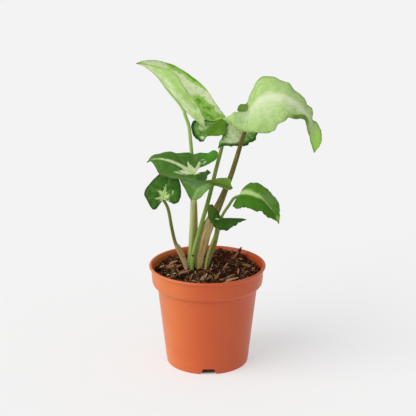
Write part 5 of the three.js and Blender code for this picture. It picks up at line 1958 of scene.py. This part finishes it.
class PLANT_OT_litter(bpy.types.Operator):
    """Strew bark splinters, peat crumbs and root fibres over the soil"""
    bl_idname = "plant.litter"
    bl_label = "Strew the soil"

    def execute(self, context):
        self.settings = context.scene.plant_soil
        self.level = self.settings.level / MM
        self.reach = soil_edge_radius(context.scene.plant_pot) - LITTER_FROM_EDGE
        self.make_chips(random.Random(CHIP_SEED))
        self.make_crumbs(random.Random(CRUMB_SEED))
        self.make_fibres(random.Random(FIBRE_SEED))
        return {"FINISHED"}

    def spot(self, rng, over, share=1.0):
        """A random place over the soil's top."""
        reach = share * self.reach * math.sqrt(rng.random())
        bearing = 2 * math.pi * rng.random()
        x, y = reach * math.cos(bearing), reach * math.sin(bearing)
        return x, y, soil_height(x, y, self.level) + over

    def finish(self, name, litter, low_tone, high_tone, stops):
        """Make one piece of the litter, coloured from low_tone to high_tone by its shades."""
        in_metres(litter.all)
        face_outwards(litter.all)
        stuff = soil_stuff(name, self.settings, low_tone, high_tone, stops)
        put_in_place(finished(name, litter.all, [stuff], LITTER_SHARP), "soil", "soil")

    def make_chips(self, rng):
        litter = Litter()
        for (x, y), size, turn, tilt, tone in PLACED_CHIPS:
            place = (x, y, soil_height(x, y, self.level) + PLACED_LIFT)
            litter.add(splinter(size, rng), place, math.radians(turn), math.radians(tilt), tone)
        for _ in range(self.settings.chips):
            place = self.spot(rng, rng.uniform(*CHIP_LIFT))
            long = SHORTEST_CHIP + CHIP_LENGTH_RANGE * rng.random() ** 2
            size = (long, rng.uniform(*CHIP_WIDTH), rng.uniform(*CHIP_THICKNESS))
            kind = rng.random()
            tone = rng.uniform(*next(shades for share, *shades in CHIP_SHADES if kind < share))
            turn, tilt = rng.uniform(0, math.pi), rng.gauss(0, CHIP_TILT)
            litter.add(splinter(size, rng), place, turn, tilt, tone)
        core = shaded(self.settings.earth, CORE_SHADE)
        self.finish("bark_chips", litter, core, self.settings.bark, CHIP_STOPS)

    def make_crumbs(self, rng):
        litter = Litter()
        for _ in range(self.settings.crumbs):
            place = self.spot(rng, rng.uniform(*CRUMB_LIFT), CRUMB_REACH)
            size = rng.uniform(*CRUMB_RADIUS) * rng.uniform(*CRUMB_SHRINK)
            turn, tilt = rng.uniform(0, math.pi), rng.uniform(*CRUMB_TILT)
            litter.add(crumb(size, rng), place, turn, tilt, rng.uniform(*CRUMB_SHADE))
        self.finish("peat_crumbs", litter, self.settings.peat, self.settings.earth, CRUMB_STOPS)

    def make_fibres(self, rng):
        litter = Litter()
        for _ in range(self.settings.fibres):
            place = self.spot(rng, FIBRE_LIFT, FIBRE_REACH)
            span, radius = rng.uniform(*FIBRE_SPAN), rng.uniform(*FIBRE_RADIUS)
            root = fibre(span, radius, rng.uniform(*FIBRE_ARCH), rng.uniform(*FIBRE_CURL))
            litter.add(root, place, rng.uniform(0, 2 * math.pi), 0, rng.uniform(*FIBRE_SHADE))
        self.finish("soil_fibres", litter, self.settings.bark, self.settings.fibre, FIBRE_STOPS)


# ---- Leaf pieces ----------------------------------------------------------------------------
LEAF_SHARP = 60


class PLANT_OT_leaves(bpy.types.Operator):
    """Make every leaf: a thin veined blade on a streaked stalk"""
    bl_idname = "plant.leaves"
    bl_label = "Make the leaves"

    def execute(self, context):
        settings = context.scene.plant_leaves
        slots = {part["node"]: part["material_slot"] for part in frame["record"]["subparts"]}
        for name in LEAVES:
            sheet, halves = blade_bmesh(name, settings)
            blade = thickened(name + "_sheet", sheet, settings.thickness)
            bm = stalk_bmesh(name, halves)
            bm.from_mesh(blade)
            bpy.data.meshes.remove(blade)
            materials = [upper_face(name), under_face(name), stalk_skin(name)]
            put_in_place(finished("whole_" + name, bm, materials, LEAF_SHARP), slots[name], name)
        return {"FINISHED"}


ROOT_PALE = srgb(196, 170, 120)
ROOT_GREEN = srgb(150, 160, 92)
ROOT_ROUGHNESS = 0.7
ROOT_SHEEN = 0.5
ROOT_RELIEF = (0.5, 0.0005)


class PLANT_OT_crown(bpy.types.Operator):
    """Give the buried crown and its roots a root skin"""
    bl_idname = "plant.crown"
    bl_label = "Finish the crown"

    def execute(self, context):
        material, graph, shader = new_material("root_skin")
        grain = use_group(graph, "Grain", fine_scale=1500.0, coarse_scale=160.0)
        tint = graph.mix(grain["Coarse"], ROOT_PALE, ROOT_GREEN)
        set_skin(graph, shader, tint, ROOT_ROUGHNESS, ROOT_SHEEN, grain["Fine"], *ROOT_RELIEF)
        crown = frame["nodes"]["crown_stem"]
        for slot in crown.material_slots:
            slot.link = "OBJECT"
            slot.material = material
        return {"FINISHED"}


# ---- Stage ----------------------------------------------------------------------------------
FLOOR_RADIUS = 40  # in metres, so that its edge is out of sight
FLOOR_SIDES = 96
FLOOR_SHARP = 40
ROOM_TINT = (0.96, 0.98, 1, 1)
KEY_TINT = (1, 0.975, 0.92)
KEY_SPREAD = math.radians(58)  # wide and soft, like a window
KEY_FROM = Vector((-0.7, -0.38, 0.61))
LENS = 100
SENSOR_WIDTH = 36


class PLANT_OT_stage(bpy.types.Operator):
    """Set the floor, the lights and the camera"""
    bl_idname = "plant.stage"
    bl_label = "Set the stage"

    def execute(self, context):
        settings = context.scene.plant_stage
        self.make_floor(settings)
        self.make_lights(context, settings)
        self.make_camera(context, settings)
        return {"FINISHED"}

    def make_floor(self, settings):
        bm = bmesh.new()
        bmesh.ops.create_circle(bm, cap_ends=True, segments=FLOOR_SIDES, radius=FLOOR_RADIUS)
        face_outwards(bm)
        floor = finished("studio_floor", bm, [paper_floor(settings)], FLOOR_SHARP)

    def make_lights(self, context, settings):
        """Even light from all round, a paler room behind for the camera alone, and a soft sun."""
        world = bpy.data.worlds.new("studio")
        world.use_nodes = True
        graph = Graph(world.node_tree)
        background = world.node_tree.nodes["Background"]
        background.inputs["Color"].default_value = ROOM_TINT
        seen = Value(graph, graph.node("ShaderNodeLightPath").outputs["Is Camera Ray"])
        strength = seen * (settings.backdrop - settings.sky) + settings.sky
        graph.feed(background.inputs["Strength"], strength)
        context.scene.world = world
        data = bpy.data.lights.new("key", "SUN")
        data.energy = settings.sun
        data.color = KEY_TINT
        data.angle = KEY_SPREAD
        lamp = placed("key", data)
        lamp.rotation_euler = KEY_FROM.to_track_quat("Z", "Y").to_euler()
        lamp.location = KEY_FROM

    def make_camera(self, context, settings):
        data = bpy.data.cameras.new("camera")
        data.lens = LENS
        data.sensor_width = SENSOR_WIDTH
        camera = placed("camera", data)
        camera.location = settings.eye
        camera.rotation_euler = (math.pi / 2 - settings.pitch, 0, 0)
        context.scene.camera = camera
        context.scene.view_settings.view_transform = "Standard"


class PLANT_PT_panel(bpy.types.Panel):
    """Lists the steps that build the plant"""
    bl_label = "Potted plant"
    bl_idname = "PLANT_PT_panel"
    bl_space_type = "VIEW_3D"
    bl_region_type = "UI"
    bl_category = "Plant"

    def draw(self, context):
        scene = context.scene
        for operator in OPERATORS:
            self.layout.operator(operator.bl_idname)
        for group in (scene.plant_pot, scene.plant_soil, scene.plant_leaves, scene.plant_stage):
            box = self.layout.box()
            for name in group.__annotations__:
                box.prop(group, name)


SETTINGS = {
    "plant_pot": PotSettings,
    "plant_soil": SoilSettings,
    "plant_leaves": LeafSettings,
    "plant_stage": StageSettings,
}
OPERATORS = (
    PLANT_OT_pot, PLANT_OT_soil, PLANT_OT_litter, PLANT_OT_leaves, PLANT_OT_crown, PLANT_OT_stage,
)


def register():
    for cls in (*SETTINGS.values(), *OPERATORS, PLANT_PT_panel):
        bpy.utils.register_class(cls)
    for name, group in SETTINGS.items():
        setattr(bpy.types.Scene, name, bpy.props.PointerProperty(type=group))


def unregister():
    for name in SETTINGS:
        delattr(bpy.types.Scene, name)
    for cls in (PLANT_PT_panel, *reversed(OPERATORS), *reversed(SETTINGS.values())):
        bpy.utils.unregister_class(cls)


def main():
    register()
    bpy.ops.plant.pot()
    bpy.ops.plant.soil()
    bpy.ops.plant.litter()
    bpy.ops.plant.leaves()
    bpy.ops.plant.crown()
    bpy.ops.plant.stage()


if __name__ == "__main__":
    main()
